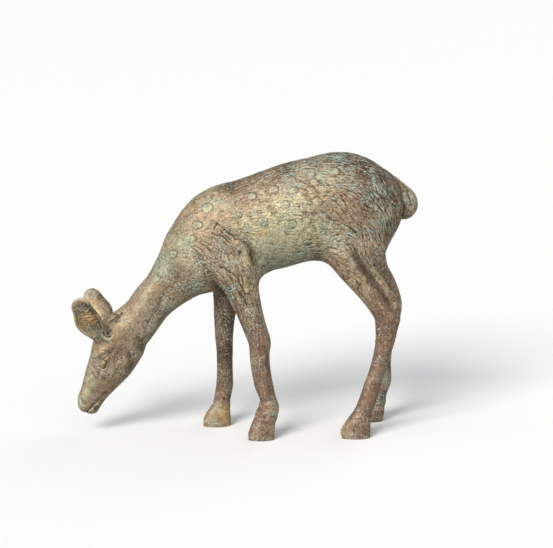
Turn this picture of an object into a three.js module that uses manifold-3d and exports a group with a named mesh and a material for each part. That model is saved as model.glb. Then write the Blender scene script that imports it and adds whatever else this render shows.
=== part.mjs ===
// A grazing fawn cast in bronze as one piece, standing on its four hooves.
// Millimetres, +Z up. The fawn faces -X, its left side is towards -Y, and the origin is on the ground under
// the middle of its overall length and width.
//
// The body is a field: a function that is negative inside the bronze and positive outside. Each limb is a
// smooth chain of balls through named stations, the limbs melt into each other, and strokes of a modelling
// tool raise and sink the surface. The field is meshed, thinned to a few thousand triangles and cut flat at
// the ground.
import * as THREE from "three";
import { mergeVertices } from "three/addons/utils/BufferGeometryUtils.js";
import Module from "manifold-3d";

const cell = 4; // edge of a meshing cell
const gridLow = [-400, -112, -40]; // the box that is meshed
const gridHigh = [392, 112, 652];
const wantedTriangles = 9400;
const stepsPerSpan = 4; // short straight links between two stations of a limb
const tiny = 1e-9; // keeps a length that may be nothing from dividing by zero

// ---------------------------------------------------------------- stations
// Each station is [x, y, z, radius, width]: the radius is measured in the side view, and width is how wide
// the limb is from side to side, as a share of its height.

const trunk = [
  [-91, 0, 409, 87, 0.74], // brisket
  [-44, 0, 444.5, 108, 0.66], // withers
  [2, 0, 464, 103.5, 0.72],
  [50, 0, 475.5, 108, 0.76], // ribs
  [108, 0, 493.5, 110.5, 0.78], // loin
  [163, 0, 505, 112, 0.77], // flank
  [211, 0, 515, 110.5, 0.74], // croup
  [249, 0, 507.5, 96, 0.72], // rump
];
const neck = [
  [-92, 0, 407.5, 85.5, 0.74],
  [-130, 0, 374, 67, 0.72],
  [-171, 0, 331.5, 50.5, 0.78],
  [-206.5, 0, 296, 45.5, 0.82],
  [-236.5, 0, 254, 45, 0.84],
  [-261, 0, 221, 44.2, 0.84], // throat
];
const skull = [
  [-260, 0, 254, 34, 0.9], // nape
  [-282, 0, 231.5, 40, 0.84], // poll
  [-298, 0, 201.5, 40, 0.8], // forehead
  [-308, 0, 167.5, 38.5, 0.86], // brow
  [-322.5, 0, 133.5, 34.5, 0.8],
  [-340, 0, 100.5, 26, 0.76], // bridge of the nose
  [-353, 0, 77.5, 21.5, 0.86],
  [-356.5, 0, 66, 18, 0.95], // muzzle
];
const jaw = [
  [-257, 0, 192, 32, 0.86], // angle of the jaw
  [-280, 0, 155.5, 31.3, 0.86], // cheek
  [-304, 0, 120.5, 24, 0.8],
  [-326, 0, 88.5, 17.5, 0.8],
  [-343, 0, 59, 15, 0.9], // chin
];
const leftForeleg = [
  [-35, -38, 430.5, 60, 0.55], // shoulder
  [-22, -47, 389.5, 52, 0.6], // upper arm
  [-12, -54, 345.5, 38.5, 0.66], // elbow
  [0, -57, 306.5, 31, 0.8],
  [13, -57, 265.5, 26.5, 0.9],
  [22, -57, 238.5, 25, 0.92],
  [28.5, -57, 216.5, 24.3, 0.92], // knee
  [28, -57, 189.5, 21.8, 0.9],
  [31, -57, 155.5, 20.8, 0.9], // cannon
  [37.5, -58, 120.5, 20.3, 0.92],
  [46, -58, 91.5, 17.8, 0.98], // fetlock
  [48, -59, 70.5, 22.5, 1],
  [44, -60, 55.5, 24, 1],
];
const rightForeleg = [
  [-42, 40, 415.5, 58, 0.55],
  [-38, 44, 358.5, 42, 0.65],
  [-40.5, 46, 300.5, 31, 0.8],
  [-46, 46, 255.5, 24, 0.9],
  [-47.5, 46, 209.5, 20.5, 0.92],
  [-46.5, 46, 174.5, 18.5, 0.92],
  [-46.5, 46, 132.5, 17.8, 0.92],
  [-47, 46, 93.5, 19, 0.95],
  [-51, 46, 70.5, 18.5, 1],
  [-54, 45, 52.5, 18, 1],
];
const leftHindleg = [
  [238, -30, 503.5, 92, 0.6], // hip
  [237, -42, 444, 73, 0.6], // thigh
  [233.5, -50, 400.5, 49.5, 0.68], // stifle
  [247.5, -54, 366.5, 37, 0.74],
  [272.5, -56, 332.5, 32.5, 0.76], // gaskin
  [293, -56, 303.5, 31, 0.78],
  [307, -56, 275.5, 29, 0.78], // hock
  [306, -56, 245.5, 24.5, 0.8],
  [303, -56, 214.5, 20.8, 0.9],
  [296, -56, 185.5, 18, 0.95], // cannon
  [287.5, -56, 151.5, 17.3, 0.95],
  [275, -57, 112.5, 18, 0.95],
  [267.5, -57, 85.5, 18.8, 1], // fetlock
  [259, -57, 61.5, 19, 1],
];
const rightHindleg = [
  [242, 31, 498.5, 88.6, 0.6],
  [249, 42, 429, 65, 0.6],
  [275, 50, 358.5, 45, 0.7],
  [305, 56, 315.5, 36, 0.76],
  [326, 60, 272.5, 29, 0.78],
  [326, 62, 234.5, 23.5, 0.8],
  [320, 62, 187.5, 18.5, 0.9],
  [315, 62, 140.5, 17.5, 0.95],
  [315, 62, 95.5, 19, 0.95],
  [307, 62, 69.5, 18.5, 1],
  [302, 62, 47.5, 19.5, 1],
];
const tail = [
  [300, 0, 566.5, 20, 1],
  [327, 0, 545.5, 21, 1.1],
  [349.5, 0, 520.5, 25, 1.05],
  [353.5, 0, 504, 22.5, 1],
  [349, 0, 492, 15, 1.1],
];

// The folds of skin that close the corners between the belly and the legs.
const elbowFold = [
  [-2, 0, 387.5, 30, 1.9],
  [22, 0, 380.5, 24, 2.2],
];
const flankFold = [
  [152, 0, 429, 22, 1.8],
  [188, 0, 409, 23, 2.1],
];

// Hooves: the middle of the sole, its length, how high the coronet is where the hoof meets the leg, the
// radius there, and how far it leans back from the middle of the sole.
const hooves = [
  { at: [31, -60], length: 57, coronet: 46, top: 22, lean: 9 },
  { at: [-65, 45], length: 62, coronet: 46, top: 17, lean: 12 },
  { at: [240, -58], length: 63, coronet: 46, top: 20, lean: 13 },
  { at: [284, 62], length: 62, coronet: 46, top: 18, lean: 18 },
];
const hoofWidth = 46;

// ---------------------------------------------------------------- the field

const mix = (a, b, t) => a + (b - a) * t;
const clamp01 = (t) => Math.min(1, Math.max(0, t));
const unit = (...v) => new THREE.Vector3(...v).normalize();

// Two distances joined into one, with a fillet about k wide between them.
function melt(a, b, k) {
  const h = Math.max(k - Math.abs(a - b), 0) / k;
  return Math.min(a, b) - (h * h * k) / 4;
}

// A Catmull-Rom curve through rows of numbers, with each span cut into equal steps.
function smoothRows(rows, steps) {
  const made = [];
  const row = (i) => rows[Math.min(rows.length - 1, Math.max(0, i))];
  for (let i = 0; i < rows.length - 1; i++) {
    for (let j = 0; j < steps; j++) {
      const t = j / steps;
      made.push(
        row(i).map((b, c) => {
          const a = row(i - 1)[c];
          const d = row(i + 1)[c];
          const e = row(i + 2)[c];
          const bend = (2 * a - 5 * b + 4 * d - e) * t ** 2;
          const twist = (3 * b - a - 3 * d + e) * t ** 3;
          return (2 * b + (d - a) * t + bend + twist) / 2;
        }),
      );
    }
  }
  made.push(rows.at(-1));
  return made;
}

// A chain of balls through the stations, flattened from side to side.
function limb(stations) {
  const rows = smoothRows(stations, stepsPerSpan);
  const links = rows.slice(1).map((b, i) => {
    const a = rows[i];
    const run = [b[0] - a[0], b[1] - a[1], b[2] - a[2]];
    return { a, b, run, length2: run[0] ** 2 + run[1] ** 2 + run[2] ** 2 };
  });
  return (x, y, z) => {
    let nearest = Infinity;
    for (const { a, b, run, length2 } of links) {
      const t = clamp01(((x - a[0]) * run[0] + (y - a[1]) * run[1] + (z - a[2]) * run[2]) / length2);
      const dx = x - a[0] - run[0] * t;
      const dy = (y - a[1] - run[1] * t) / mix(a[4], b[4], t);
      const dz = z - a[2] - run[2] * t;
      nearest = Math.min(nearest, Math.sqrt(dx * dx + dy * dy + dz * dz) - mix(a[3], b[3], t));
    }
    return nearest;
  };
}

// A hoof: two claws side by side, each a wedge that widens forward and down to the sole, on a round
// coronet.
function hoof({ at: [x, y], length, coronet, top, lean }) {
  const claws = [-1, 1].map((side) =>
    limb([
      [x + lean, y + side * 0.1 * hoofWidth, coronet, top, 0.78],
      [x + 0.5 * lean, y + side * 0.2 * hoofWidth, 0.55 * coronet, mix(top, 0.5 * length, 0.55), 0.55],
      [x, y + side * 0.25 * hoofWidth, 0.1 * coronet, 0.5 * length, 0.4],
    ]),
  );
  return (px, py, pz) => melt(claws[0](px, py, pz), claws[1](px, py, pz), 2);
}

// An ear: a cupped leaf with a round edge. Along its length its rows give [half width, curl of the edges].
const earRows = smoothRows([[20, 9], [24.5, 13], [28, 13], [28.5, 11], [25, 8], [21.5, 5]], 6);
const mostCurl = 1.5; // past its edges the leaf curls no further than this, as a share of the curl
const cupShare = 0.35; // how much of the curl lies behind the straight line from root to tip
function ear({ root, tip, faces, thick, bend }) {
  const base = new THREE.Vector3(...root);
  const along = new THREE.Vector3(...tip).sub(base);
  const length = along.length();
  along.normalize();
  const outward = unit(...faces);
  outward.addScaledVector(along, -outward.dot(along)).normalize();
  const across = new THREE.Vector3().crossVectors(along, outward);
  const p = new THREE.Vector3();
  return (x, y, z) => {
    p.set(x, y, z).sub(base);
    const u = p.dot(along);
    const share = clamp01(u / length);
    const at = share * (earRows.length - 1);
    const row = Math.min(Math.floor(at), earRows.length - 2);
    const [half, curl] = earRows[row].map((v, c) => mix(v, earRows[row + 1][c], at - row));
    const v = p.dot(across) - bend * Math.sin(Math.PI * share);
    const w = p.dot(outward) - curl * (Math.min((v / half) ** 2, mostCurl) - cupShare);
    const beyond = Math.max(0, -u, u - length);
    const pastEdge = Math.max(0, Math.hypot(v, beyond) - half + thick / 2);
    return Math.hypot(pastEdge, w) - thick / 2;
  };
}

const ears = [
  { root: [-322, -30, 236], tip: [-356, -55, 302], faces: [-0.2, -1, 0.1], thick: 9, bend: -3 },
  { root: [-308, 26, 242], tip: [-339, 53, 297], faces: [-0.45, 1, 0.1], thick: 9, bend: -1 },
];

const body = [
  { form: limb(neck), fillet: 14 },
  { form: limb(trunk), fillet: 14 },
  { form: limb(skull), fillet: 14 },
  { form: limb(jaw), fillet: 10 },
  ...[leftForeleg, rightForeleg].map((leg) => ({ form: limb(leg), fillet: 28 })),
  ...[leftHindleg, rightHindleg].map((leg) => ({ form: limb(leg), fillet: 28 })),
  ...hooves.map((one) => ({ form: hoof(one), fillet: 7 })),
  ...ears.map((one) => ({ form: ear(one), fillet: 14 })),
  { form: limb(elbowFold), fillet: 24 },
  { form: limb(flankFold), fillet: 24 },
  { form: limb(tail), fillet: 6 },
];

const farAway = 1e3;
function plainBody(x, y, z) {
  return body.reduce((d, { form, fillet }) => melt(d, form(x, y, z), fillet), farAway);
}

// Strokes of the modelling tool, drawn as [x, z] points in the side view. Each lifts or sinks the surface
// by `depth` (minus sinks it) and fades out over `width`.
const left = -1;
const right = 1;
const both = 0;
const strokes = [
  {
    name: "brow",
    side: both,
    width: 7,
    depth: 3.5,
    path: [[-340, 168], [-333, 180], [-320, 194], [-302, 204], [-288, 210]],
  },
  {
    name: "eyelid",
    side: both,
    width: 4.5,
    depth: -2.2,
    path: [[-316, 146], [-323, 160], [-323, 172], [-314, 184], [-300, 192], [-290, 200]],
  },
  {
    name: "under the eye",
    side: both,
    width: 5,
    depth: -1.5,
    path: [[-320, 150], [-310, 156], [-300, 170], [-297, 186], [-294, 196]],
  },
  {
    name: "eye",
    side: both,
    width: 8,
    depth: 3,
    path: [[-320, 152], [-315, 162], [-307, 178], [-299, 192]],
  },
  {
    name: "tear duct",
    side: both,
    width: 4,
    depth: -2.5,
    path: [[-317, 158], [-324, 144], [-331, 126]],
  },
  {
    name: "cheekbone",
    side: both,
    width: 9,
    depth: 3,
    path: [[-316, 136], [-296, 152], [-278, 166], [-264, 180]],
  },
  {
    name: "side of the nose",
    side: both,
    width: 9,
    depth: -3,
    path: [[-338, 96], [-328, 114], [-316, 130], [-308, 138]],
  },
  {
    name: "mouth",
    side: both,
    width: 3,
    depth: -3,
    path: [[-360, 45], [-352, 54], [-344, 62], [-336, 71], [-322, 85], [-308, 101]],
  },
  {
    name: "nostril",
    side: both,
    width: 3.5,
    depth: -2.5,
    path: [[-367, 84], [-364, 76], [-360, 70], [-355, 68]],
  },
  {
    name: "back of the cheek",
    side: both,
    width: 7,
    depth: -3.5,
    path: [[-274, 214], [-264, 198], [-255, 180], [-253, 160], [-264, 146]],
  },
  {
    name: "root of the ear",
    side: both,
    width: 5,
    depth: -4,
    path: [[-268, 282], [-279, 270], [-291, 256], [-301, 244], [-304, 236]],
  },
  {
    name: "side of the neck",
    side: both,
    width: 14,
    depth: 3,
    path: [[-298, 200], [-268, 246], [-238, 288], [-206, 336], [-168, 390]],
  },
  {
    name: "throat groove",
    side: both,
    width: 12,
    depth: -3,
    path: [[-228, 246], [-210, 270], [-178, 324], [-143, 374]],
  },
  {
    name: "shoulder crease",
    side: left,
    width: 5,
    depth: -4,
    path: [[-66, 488], [-52, 468], [-36, 456], [-18, 452], [-1, 442], [8, 426], [13, 400], [19, 376]],
  },
  {
    name: "elbow muscle",
    side: left,
    width: 14,
    depth: 6,
    path: [[-43, 440], [-22, 440], [-6, 432], [1, 410], [4, 384], [4, 368]],
  },
  {
    name: "arm groove",
    side: left,
    width: 5,
    depth: -5,
    path: [[-60, 392], [-44, 384], [-30, 370], [-20, 348], [-8, 322], [8, 292]],
  },
  {
    name: "arm muscle",
    side: left,
    width: 10,
    depth: 4,
    path: [[-60, 380], [-42, 362], [-28, 340], [-14, 308]],
  },
  {
    name: "thigh groove",
    side: left,
    width: 11,
    depth: -6,
    path: [[210, 456], [227, 430], [245, 396], [276, 348], [308, 298], [314, 280]],
  },
  {
    name: "heel tendon",
    side: left,
    width: 8,
    depth: 4,
    path: [[252, 406], [272, 380], [298, 342], [322, 304], [329, 272]],
  },
  {
    name: "shoulder crease",
    side: right,
    width: 6,
    depth: -5,
    path: [[-74, 486], [-56, 462], [-36, 446], [-14, 432], [-4, 400], [-4, 366]],
  },
  {
    name: "elbow muscle",
    side: right,
    width: 14,
    depth: 5,
    path: [[-54, 436], [-32, 432], [-18, 410], [-14, 376]],
  },
  {
    name: "thigh groove",
    side: right,
    width: 11,
    depth: -6,
    path: [[228, 446], [252, 410], [282, 368], [312, 320], [330, 280]],
  },
  {
    name: "heel tendon",
    side: right,
    width: 8,
    depth: 4,
    path: [[270, 426], [302, 370], [334, 310], [344, 270]],
  },
];

// The point where a tool pushed in from the side first meets the body. It is pushed by a share of the
// distance that is left, and by no less than the shortest push.
const besideBody = 130;
const pushShare = 0.4;
const shortestPush = 0.3;
function onSide(x, z, side) {
  let y = side * besideBody;
  while (side * y > 0 && plainBody(x, y, z) > 0) {
    y -= side * Math.max(shortestPush, plainBody(x, y, z) * pushShare);
  }
  return [x, y, z];
}

const sideReach = 2.5; // how far a stroke reaches along the side direction, as a share of its width
const strokeSteps = 3; // straight links between two points of a stroke
const fadeShare = 0.25; // a stroke fades out over this share of its path at each end
function stroke({ side, width, depth, path }) {
  const rows = smoothRows(path.map(([x, z]) => onSide(x, z, side || left)), strokeSteps);
  return (x, sideways, z) => {
    const y = side ? sideways : -Math.abs(sideways);
    let nearest2 = Infinity;
    let share = 0;
    for (let i = 1; i < rows.length; i++) {
      const [a, b] = [rows[i - 1], rows[i]];
      const run = [b[0] - a[0], b[2] - a[2]];
      const t = clamp01(((x - a[0]) * run[0] + (z - a[2]) * run[1]) / (run[0] ** 2 + run[1] ** 2 + tiny));
      const dx = x - a[0] - run[0] * t;
      const dy = (y - mix(a[1], b[1], t)) / sideReach;
      const dz = z - a[2] - run[1] * t;
      const apart2 = dx * dx + dy * dy + dz * dz;
      if (apart2 > nearest2) continue;
      nearest2 = apart2;
      share = (i - 1 + t) / (rows.length - 1);
    }
    const taper = clamp01(Math.min(share, 1 - share) / fadeShare);
    return depth * taper * Math.exp(-nearest2 / (width * width));
  };
}
const carved = strokes.map(stroke);

const strokeReach = 30; // strokes are only felt this near the surface
function field(x, y, z) {
  const d = plainBody(x, y, z);
  if (Math.abs(d) > strokeReach) return d;
  return carved.reduce((sum, one) => sum - one(x, y, z), d);
}

// ---------------------------------------------------------------- meshing

// Where the four corners of a cell's side are inside and outside by turns, the surface would pinch to an
// edge there, so the outer corner nearest to the surface is filled.
function fillPinches(value, n) {
  const [alongX, alongY, alongZ] = [1, n[0], n[0] * n[1]];
  const barelyInside = -1e-3;
  for (let pinches = 1; pinches > 0; ) {
    pinches = 0;
    for (const [u, w] of [[alongX, alongY], [alongY, alongZ], [alongX, alongZ]])
      for (let i = 0; i + u + w < value.length; i++) {
        const [a, b, c, d] = [value[i] < 0, value[i + u] < 0, value[i + u + w] < 0, value[i + w] < 0];
        if (a !== c || b !== d || a === b) continue;
        const [p, q] = a ? [i + u, i + w] : [i, i + u + w];
        value[value[p] < value[q] ? p : q] = barelyInside;
        pinches++;
      }
  }
}

// Surface nets: one vertex in each cell that the surface crosses, one quad across each crossed grid edge.
// Blocks of cells that lie well inside or outside take the sign of their middle.
const blockCells = 4;
const blockReach = 2.2 * Math.sqrt(3) * 0.5 * blockCells;
function surfaceNets(f, low, high, size) {
  const n = low.map((v, i) => Math.ceil((high[i] - v) / size) + 1);
  const index = (i, j, k) => (k * n[1] + j) * n[0] + i;
  const value = new Float32Array(n[0] * n[1] * n[2]);
  const place = (...g) => g.map((v, c) => low[c] + v * size);
  const middle = (blockCells - 1) / 2;
  for (let k0 = 0; k0 < n[2]; k0 += blockCells)
    for (let j0 = 0; j0 < n[1]; j0 += blockCells)
      for (let i0 = 0; i0 < n[0]; i0 += blockCells) {
        const block = f(...place(i0 + middle, j0 + middle, k0 + middle));
        const far = Math.abs(block) > blockReach * size;
        for (let k = k0; k < Math.min(n[2], k0 + blockCells); k++)
          for (let j = j0; j < Math.min(n[1], j0 + blockCells); j++)
            for (let i = i0; i < Math.min(n[0], i0 + blockCells); i++)
              value[index(i, j, k)] = far ? block : f(...place(i, j, k));
      }

  fillPinches(value, n);
  const corners = [...Array(8).keys()].map((c) => [c & 1, (c >> 1) & 1, c >> 2]);
  const cellEdges = [];
  for (let a = 0; a < 8; a++) for (const bit of [1, 2, 4]) if (!(a & bit)) cellEdges.push([a, a | bit]);
  const vertexOf = new Map();
  const points = [];
  for (let k = 0; k < n[2] - 1; k++)
    for (let j = 0; j < n[1] - 1; j++)
      for (let i = 0; i < n[0] - 1; i++) {
        const v = corners.map(([a, b, c]) => value[index(i + a, j + b, k + c)]);
        const sum = [0, 0, 0];
        let crossings = 0;
        for (const [a, b] of cellEdges) {
          if (v[a] < 0 === v[b] < 0) continue;
          const t = v[a] / (v[a] - v[b]);
          for (let c = 0; c < 3; c++) sum[c] += mix(corners[a][c], corners[b][c], t);
          crossings++;
        }
        if (!crossings) continue;
        vertexOf.set(index(i, j, k), points.length);
        points.push(place(i + sum[0] / crossings, j + sum[1] / crossings, k + sum[2] / crossings));
      }

  const triangles = [];
  for (let k = 1; k < n[2] - 1; k++)
    for (let j = 1; j < n[1] - 1; j++)
      for (let i = 1; i < n[0] - 1; i++) {
        const inside = value[index(i, j, k)] < 0;
        for (let axis = 0; axis < 3; axis++) {
          const step = [0, 0, 0];
          step[axis] = 1;
          if (inside === value[index(i + step[0], j + step[1], k + step[2])] < 0) continue;
          const u = [0, 0, 0];
          const w = [0, 0, 0];
          u[(axis + 1) % 3] = 1;
          w[(axis + 2) % 3] = 1;
          const corner = (a, b) =>
            vertexOf.get(index(i - a * u[0] - b * w[0], j - a * u[1] - b * w[1], k - a * u[2] - b * w[2]));
          const quad = [corner(0, 0), corner(1, 0), corner(1, 1), corner(0, 1)];
          if (!inside) quad.reverse();
          triangles.push([quad[0], quad[1], quad[2]], [quad[0], quad[2], quad[3]]);
        }
      }
  return { points, triangles };
}

// Edge collapse by quadric error: the edge whose loss moves the surface least goes first, and none goes
// that would turn a face over or pinch the surface. Quadrics hold the ten sums of a plane's products.
function thinned({ points, triangles }, wanted, careFor) {
  const at = points.map((p) => p.slice());
  const faces = triangles.map((t) => t.slice());
  const around = at.map(() => new Set());
  faces.forEach((face, f) => face.forEach((v) => around[v].add(f)));
  const alive = faces.map(() => true);
  const version = new Int32Array(at.length);

  const normalOf = ([p, q, r]) => {
    const u = [q[0] - p[0], q[1] - p[1], q[2] - p[2]];
    const v = [r[0] - p[0], r[1] - p[1], r[2] - p[2]];
    return [u[1] * v[2] - u[2] * v[1], u[2] * v[0] - u[0] * v[2], u[0] * v[1] - u[1] * v[0]];
  };
  const quadrics = at.map(() => new Float64Array(10));
  for (const face of faces) {
    const corners = face.map((v) => at[v]);
    const n = normalOf(corners);
    const twiceArea = Math.hypot(...n) || tiny;
    const [a, b, c] = n.map((v) => v / twiceArea);
    const d = -(a * corners[0][0] + b * corners[0][1] + c * corners[0][2]);
    const weight = (twiceArea / 2) * careFor(corners[0]);
    [a * a, a * b, a * c, a * d, b * b, b * c, b * d, c * c, c * d, d * d].forEach((v, i) => {
      for (const corner of face) quadrics[corner][i] += v * weight;
    });
  }
  const errorAt = (q, [x, y, z]) =>
    q[0] * x * x + q[4] * y * y + q[7] * z * z + q[9] +
    2 * (q[1] * x * y + q[2] * x * z + q[3] * x + q[5] * y * z + q[6] * y + q[8] * z);

  // The place that a merged pair of points takes: the least error, or the better of the ends and the
  // middle. Long edges cost a little more, so that flat stretches keep an even mesh.
  const leastBend = 1e-6; // below this share the surface is too flat to give a place of its own
  const lengthCost = 1e-3;
  function mergePlan(a, b) {
    const q = quadrics[a].map((v, i) => v + quadrics[b][i]);
    const bends = new THREE.Matrix3().set(q[0], q[1], q[2], q[1], q[4], q[5], q[2], q[5], q[7]);
    const choices = [at[a], at[b], at[a].map((v, i) => (v + at[b][i]) / 2)];
    if (Math.abs(bends.determinant()) > leastBend * (q[0] + q[4] + q[7]) ** 3) {
      const best = new THREE.Vector3(-q[3], -q[6], -q[8]).applyMatrix3(bends.invert());
      choices.unshift([best.x, best.y, best.z]);
    }
    const errors = choices.map((p) => errorAt(q, p));
    const least = Math.min(...errors);
    const to = choices[errors.indexOf(least)];
    const span2 = at[a].reduce((sum, v, i) => sum + (v - at[b][i]) ** 2, 0);
    return { a, b, cost: least + lengthCost * span2, to, stamp: version[a] + version[b] };
  }

  const heap = [];
  const swap = (i, j) => ([heap[i], heap[j]] = [heap[j], heap[i]]);
  function push(plan) {
    let i = heap.push(plan) - 1;
    for (let up = (i - 1) >> 1; i > 0 && heap[up].cost > heap[i].cost; up = (i - 1) >> 1) {
      swap(i, up);
      i = up;
    }
  }
  function pop() {
    const first = heap[0];
    const last = heap.pop();
    if (!heap.length) return first;
    heap[0] = last;
    for (let i = 0; ; ) {
      let least = i;
      for (const child of [2 * i + 1, 2 * i + 2]) if (heap[child]?.cost < heap[least].cost) least = child;
      if (least === i) return first;
      swap(i, least);
      i = least;
    }
  }
  const neighbours = (v) => new Set([...around[v]].flatMap((f) => faces[f]).filter((w) => w !== v));

  const mostTurn = 0.3; // cosine of the most that a face may turn in one merge
  function allowed({ a, b, to }) {
    const ring = neighbours(b);
    if ([...neighbours(a)].filter((v) => ring.has(v)).length !== 2) return false;
    for (const v of [a, b])
      for (const f of around[v]) {
        if (faces[f].includes(a) && faces[f].includes(b)) continue;
        const before = normalOf(faces[f].map((w) => at[w]));
        const after = normalOf(faces[f].map((w) => (w === v ? to : at[w])));
        const dot = before[0] * after[0] + before[1] * after[1] + before[2] * after[2];
        if (dot < mostTurn * Math.hypot(...before) * Math.hypot(...after)) return false;
      }
    return true;
  }

  for (const [p, q, r] of faces) {
    for (const [a, b] of [[p, q], [q, r], [r, p]]) if (a < b) push(mergePlan(a, b));
  }
  let facesLeft = faces.length;
  while (facesLeft > wanted && heap.length) {
    const plan = pop();
    const { a, b, to, stamp } = plan;
    if (stamp !== version[a] + version[b] || !around[a].size || !around[b].size || !allowed(plan)) continue;
    for (const f of [...around[b]]) {
      if (faces[f].includes(a)) {
        faces[f].forEach((v) => around[v].delete(f));
        alive[f] = false;
        facesLeft--;
      } else {
        faces[f][faces[f].indexOf(b)] = a;
        around[a].add(f);
      }
    }
    around[b].clear();
    at[a] = to;
    quadrics[b].forEach((v, i) => (quadrics[a][i] += v));
    version[b]++;
    const ring = neighbours(a);
    version[a]++;
    for (const v of ring) version[v]++;
    const near = new Set();
    for (const v of [a, ...ring]) {
      for (const w of neighbours(v)) near.add(Math.min(v, w) * at.length + Math.max(v, w));
    }
    for (const key of near) push(mergePlan(Math.floor(key / at.length), key % at.length));
  }
  const kept = faces.filter((_, f) => alive[f]);
  const used = [...new Set(kept.flat())];
  const newNumber = new Map(used.map((v, i) => [v, i]));
  return { points: used.map((v) => at[v]), triangles: kept.map((t) => t.map((v) => newNumber.get(v))) };
}

// The head, the ears and the hooves keep more of their triangles than the plain flanks.
const headCare = { before: -250, below: 360, care: 5 };
const hoofCare = { below: 80, care: 3 };
function careFor([x, , z]) {
  if (x < headCare.before && z < headCare.below) return headCare.care;
  return z < hoofCare.below ? hoofCare.care : 1;
}

const nets = surfaceNets(field, gridLow, gridHigh, cell);
const thin = thinned(nets, wantedTriangles, careFor);

// ---------------------------------------------------------------- soles

const wasm = await Module();
wasm.setup();

function solid(points, triangles) {
  return new wasm.Manifold(
    new wasm.Mesh({
      numProp: 3,
      vertProperties: new Float32Array(points.flat()),
      triVerts: new Uint32Array(triangles.flat()),
    }),
  );
}
const ground = { length: 900, width: 300, depth: 60 };
const groundBox = new THREE.BoxGeometry(ground.length, ground.width, ground.depth);
groundBox.translate(0, 0, -ground.depth / 2);
groundBox.deleteAttribute("normal");
groundBox.deleteAttribute("uv");
const groundMesh = mergeVertices(groundBox);
const groundSolid = solid([[...groundMesh.getAttribute("position").array]], [[...groundMesh.index.array]]);
const stood = solid(thin.points, thin.triangles).subtract(groundSolid).getMesh();

const geometry = new THREE.BufferGeometry()
  .setAttribute("position", new THREE.BufferAttribute(new Float32Array(stood.vertProperties), 3))
  .setIndex([...stood.triVerts]);

const fawn = new THREE.Group();
const bronze = new THREE.MeshStandardMaterial({ color: 0x9a8566, roughness: 0.6, metalness: 0.7 });
const mesh = new THREE.Mesh(geometry, bronze);
mesh.name = "fawn";
fawn.add(mesh);
export default fawn;
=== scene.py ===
import math
import bpy
import bmesh
import numpy as np
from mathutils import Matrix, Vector


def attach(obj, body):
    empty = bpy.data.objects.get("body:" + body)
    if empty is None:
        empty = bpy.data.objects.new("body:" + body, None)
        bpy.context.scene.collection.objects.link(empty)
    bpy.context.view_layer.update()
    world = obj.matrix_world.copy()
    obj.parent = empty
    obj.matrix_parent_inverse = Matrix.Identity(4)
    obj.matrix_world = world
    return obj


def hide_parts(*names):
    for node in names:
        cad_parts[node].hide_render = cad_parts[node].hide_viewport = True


# A grazing fawn cast in bronze as one piece. The fawn faces -X, its left side is towards -Y, and it stands on
# Z = 0. Blender works in metres; the lists of sizes and places below are in millimetres.
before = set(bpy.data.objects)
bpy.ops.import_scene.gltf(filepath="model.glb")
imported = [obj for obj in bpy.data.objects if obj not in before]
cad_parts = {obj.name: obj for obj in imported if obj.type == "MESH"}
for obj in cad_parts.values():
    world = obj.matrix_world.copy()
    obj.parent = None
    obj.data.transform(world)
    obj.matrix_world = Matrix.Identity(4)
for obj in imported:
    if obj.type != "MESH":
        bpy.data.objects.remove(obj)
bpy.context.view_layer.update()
mm = 0.001

# ---- camera, floor and lights

view = {
    "aim": (0.068, 0.0, 0.3575),  # the point looked at
    "azimuth": -3,  # degrees round from straight at the left side
    "elevation": 12,
    "distance": 3.2,
    "lens": 94.7,
    "farthest": 60,
}


def makeCamera():
    around = math.radians(view["azimuth"])
    up = math.radians(view["elevation"])
    back = Vector((math.sin(around) * math.cos(up), -math.cos(around) * math.cos(up), math.sin(up)))
    data = bpy.data.cameras.new("camera")
    data.lens = view["lens"]
    data.clip_end = view["farthest"]
    camera = bpy.data.objects.new("camera", data)
    camera.location = Vector(view["aim"]) + back * view["distance"]
    camera.rotation_euler = back.to_track_quat("Z", "Y").to_euler()
    bpy.context.collection.objects.link(camera)
    bpy.context.scene.camera = camera


studio = {
    "floorSize": 160,
    "floorColour": (0.90, 0.90, 0.89, 1),
    "bounce": (0.42, 0.42, 0.42, 1),  # the floor as the fawn sees it, dim enough to keep its undersides dark
    "backdrop": (0.93, 0.93, 0.93, 1),
    "sky": (0.93, 0.96, 1.0, 1),
    "skyStrength": 0.24,
    "skyGlow": 0.5,  # how much brighter the sky is in front of the fawn than behind it
    "brightSide": (-0.35, -0.85, 0.4),
    # soft distant lamps: name: direction it comes from, width in degrees, strength, colour
    "lamps": {
        "key": ((-0.7, -1.0, 0.95), 30, 2.9, (1.0, 0.975, 0.94)),
        "fill": ((1.0, 0.7, 0.9), 60, 0.6, (0.95, 0.98, 1.0)),
    },
}


def makeFloor():
    half = studio["floorSize"] / 2
    mesh = bpy.data.meshes.new("floor")
    corners = [(-half, -half, 0), (half, -half, 0), (half, half, 0), (-half, half, 0)]
    mesh.from_pydata(corners, [], [(0, 1, 2, 3)])
    floor = bpy.data.objects.new("floor", mesh)
    bpy.context.collection.objects.link(floor)
    paper = bpy.data.materials.new("pale paper")
    paper.use_nodes = True
    shader = paper.node_tree.nodes["Principled BSDF"]
    seenByCamera = paper.node_tree.nodes.new("ShaderNodeLightPath").outputs["Is Camera Ray"]
    tint = paper.node_tree.nodes.new("ShaderNodeMix")
    tint.data_type = "RGBA"
    tint.inputs[6].default_value = studio["bounce"]
    tint.inputs[7].default_value = studio["floorColour"]
    paper.node_tree.links.new(seenByCamera, tint.inputs[0])
    paper.node_tree.links.new(tint.outputs[2], shader.inputs["Base Color"])
    shader.inputs["Roughness"].default_value = 0.9
    mesh.materials.append(paper)


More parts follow.
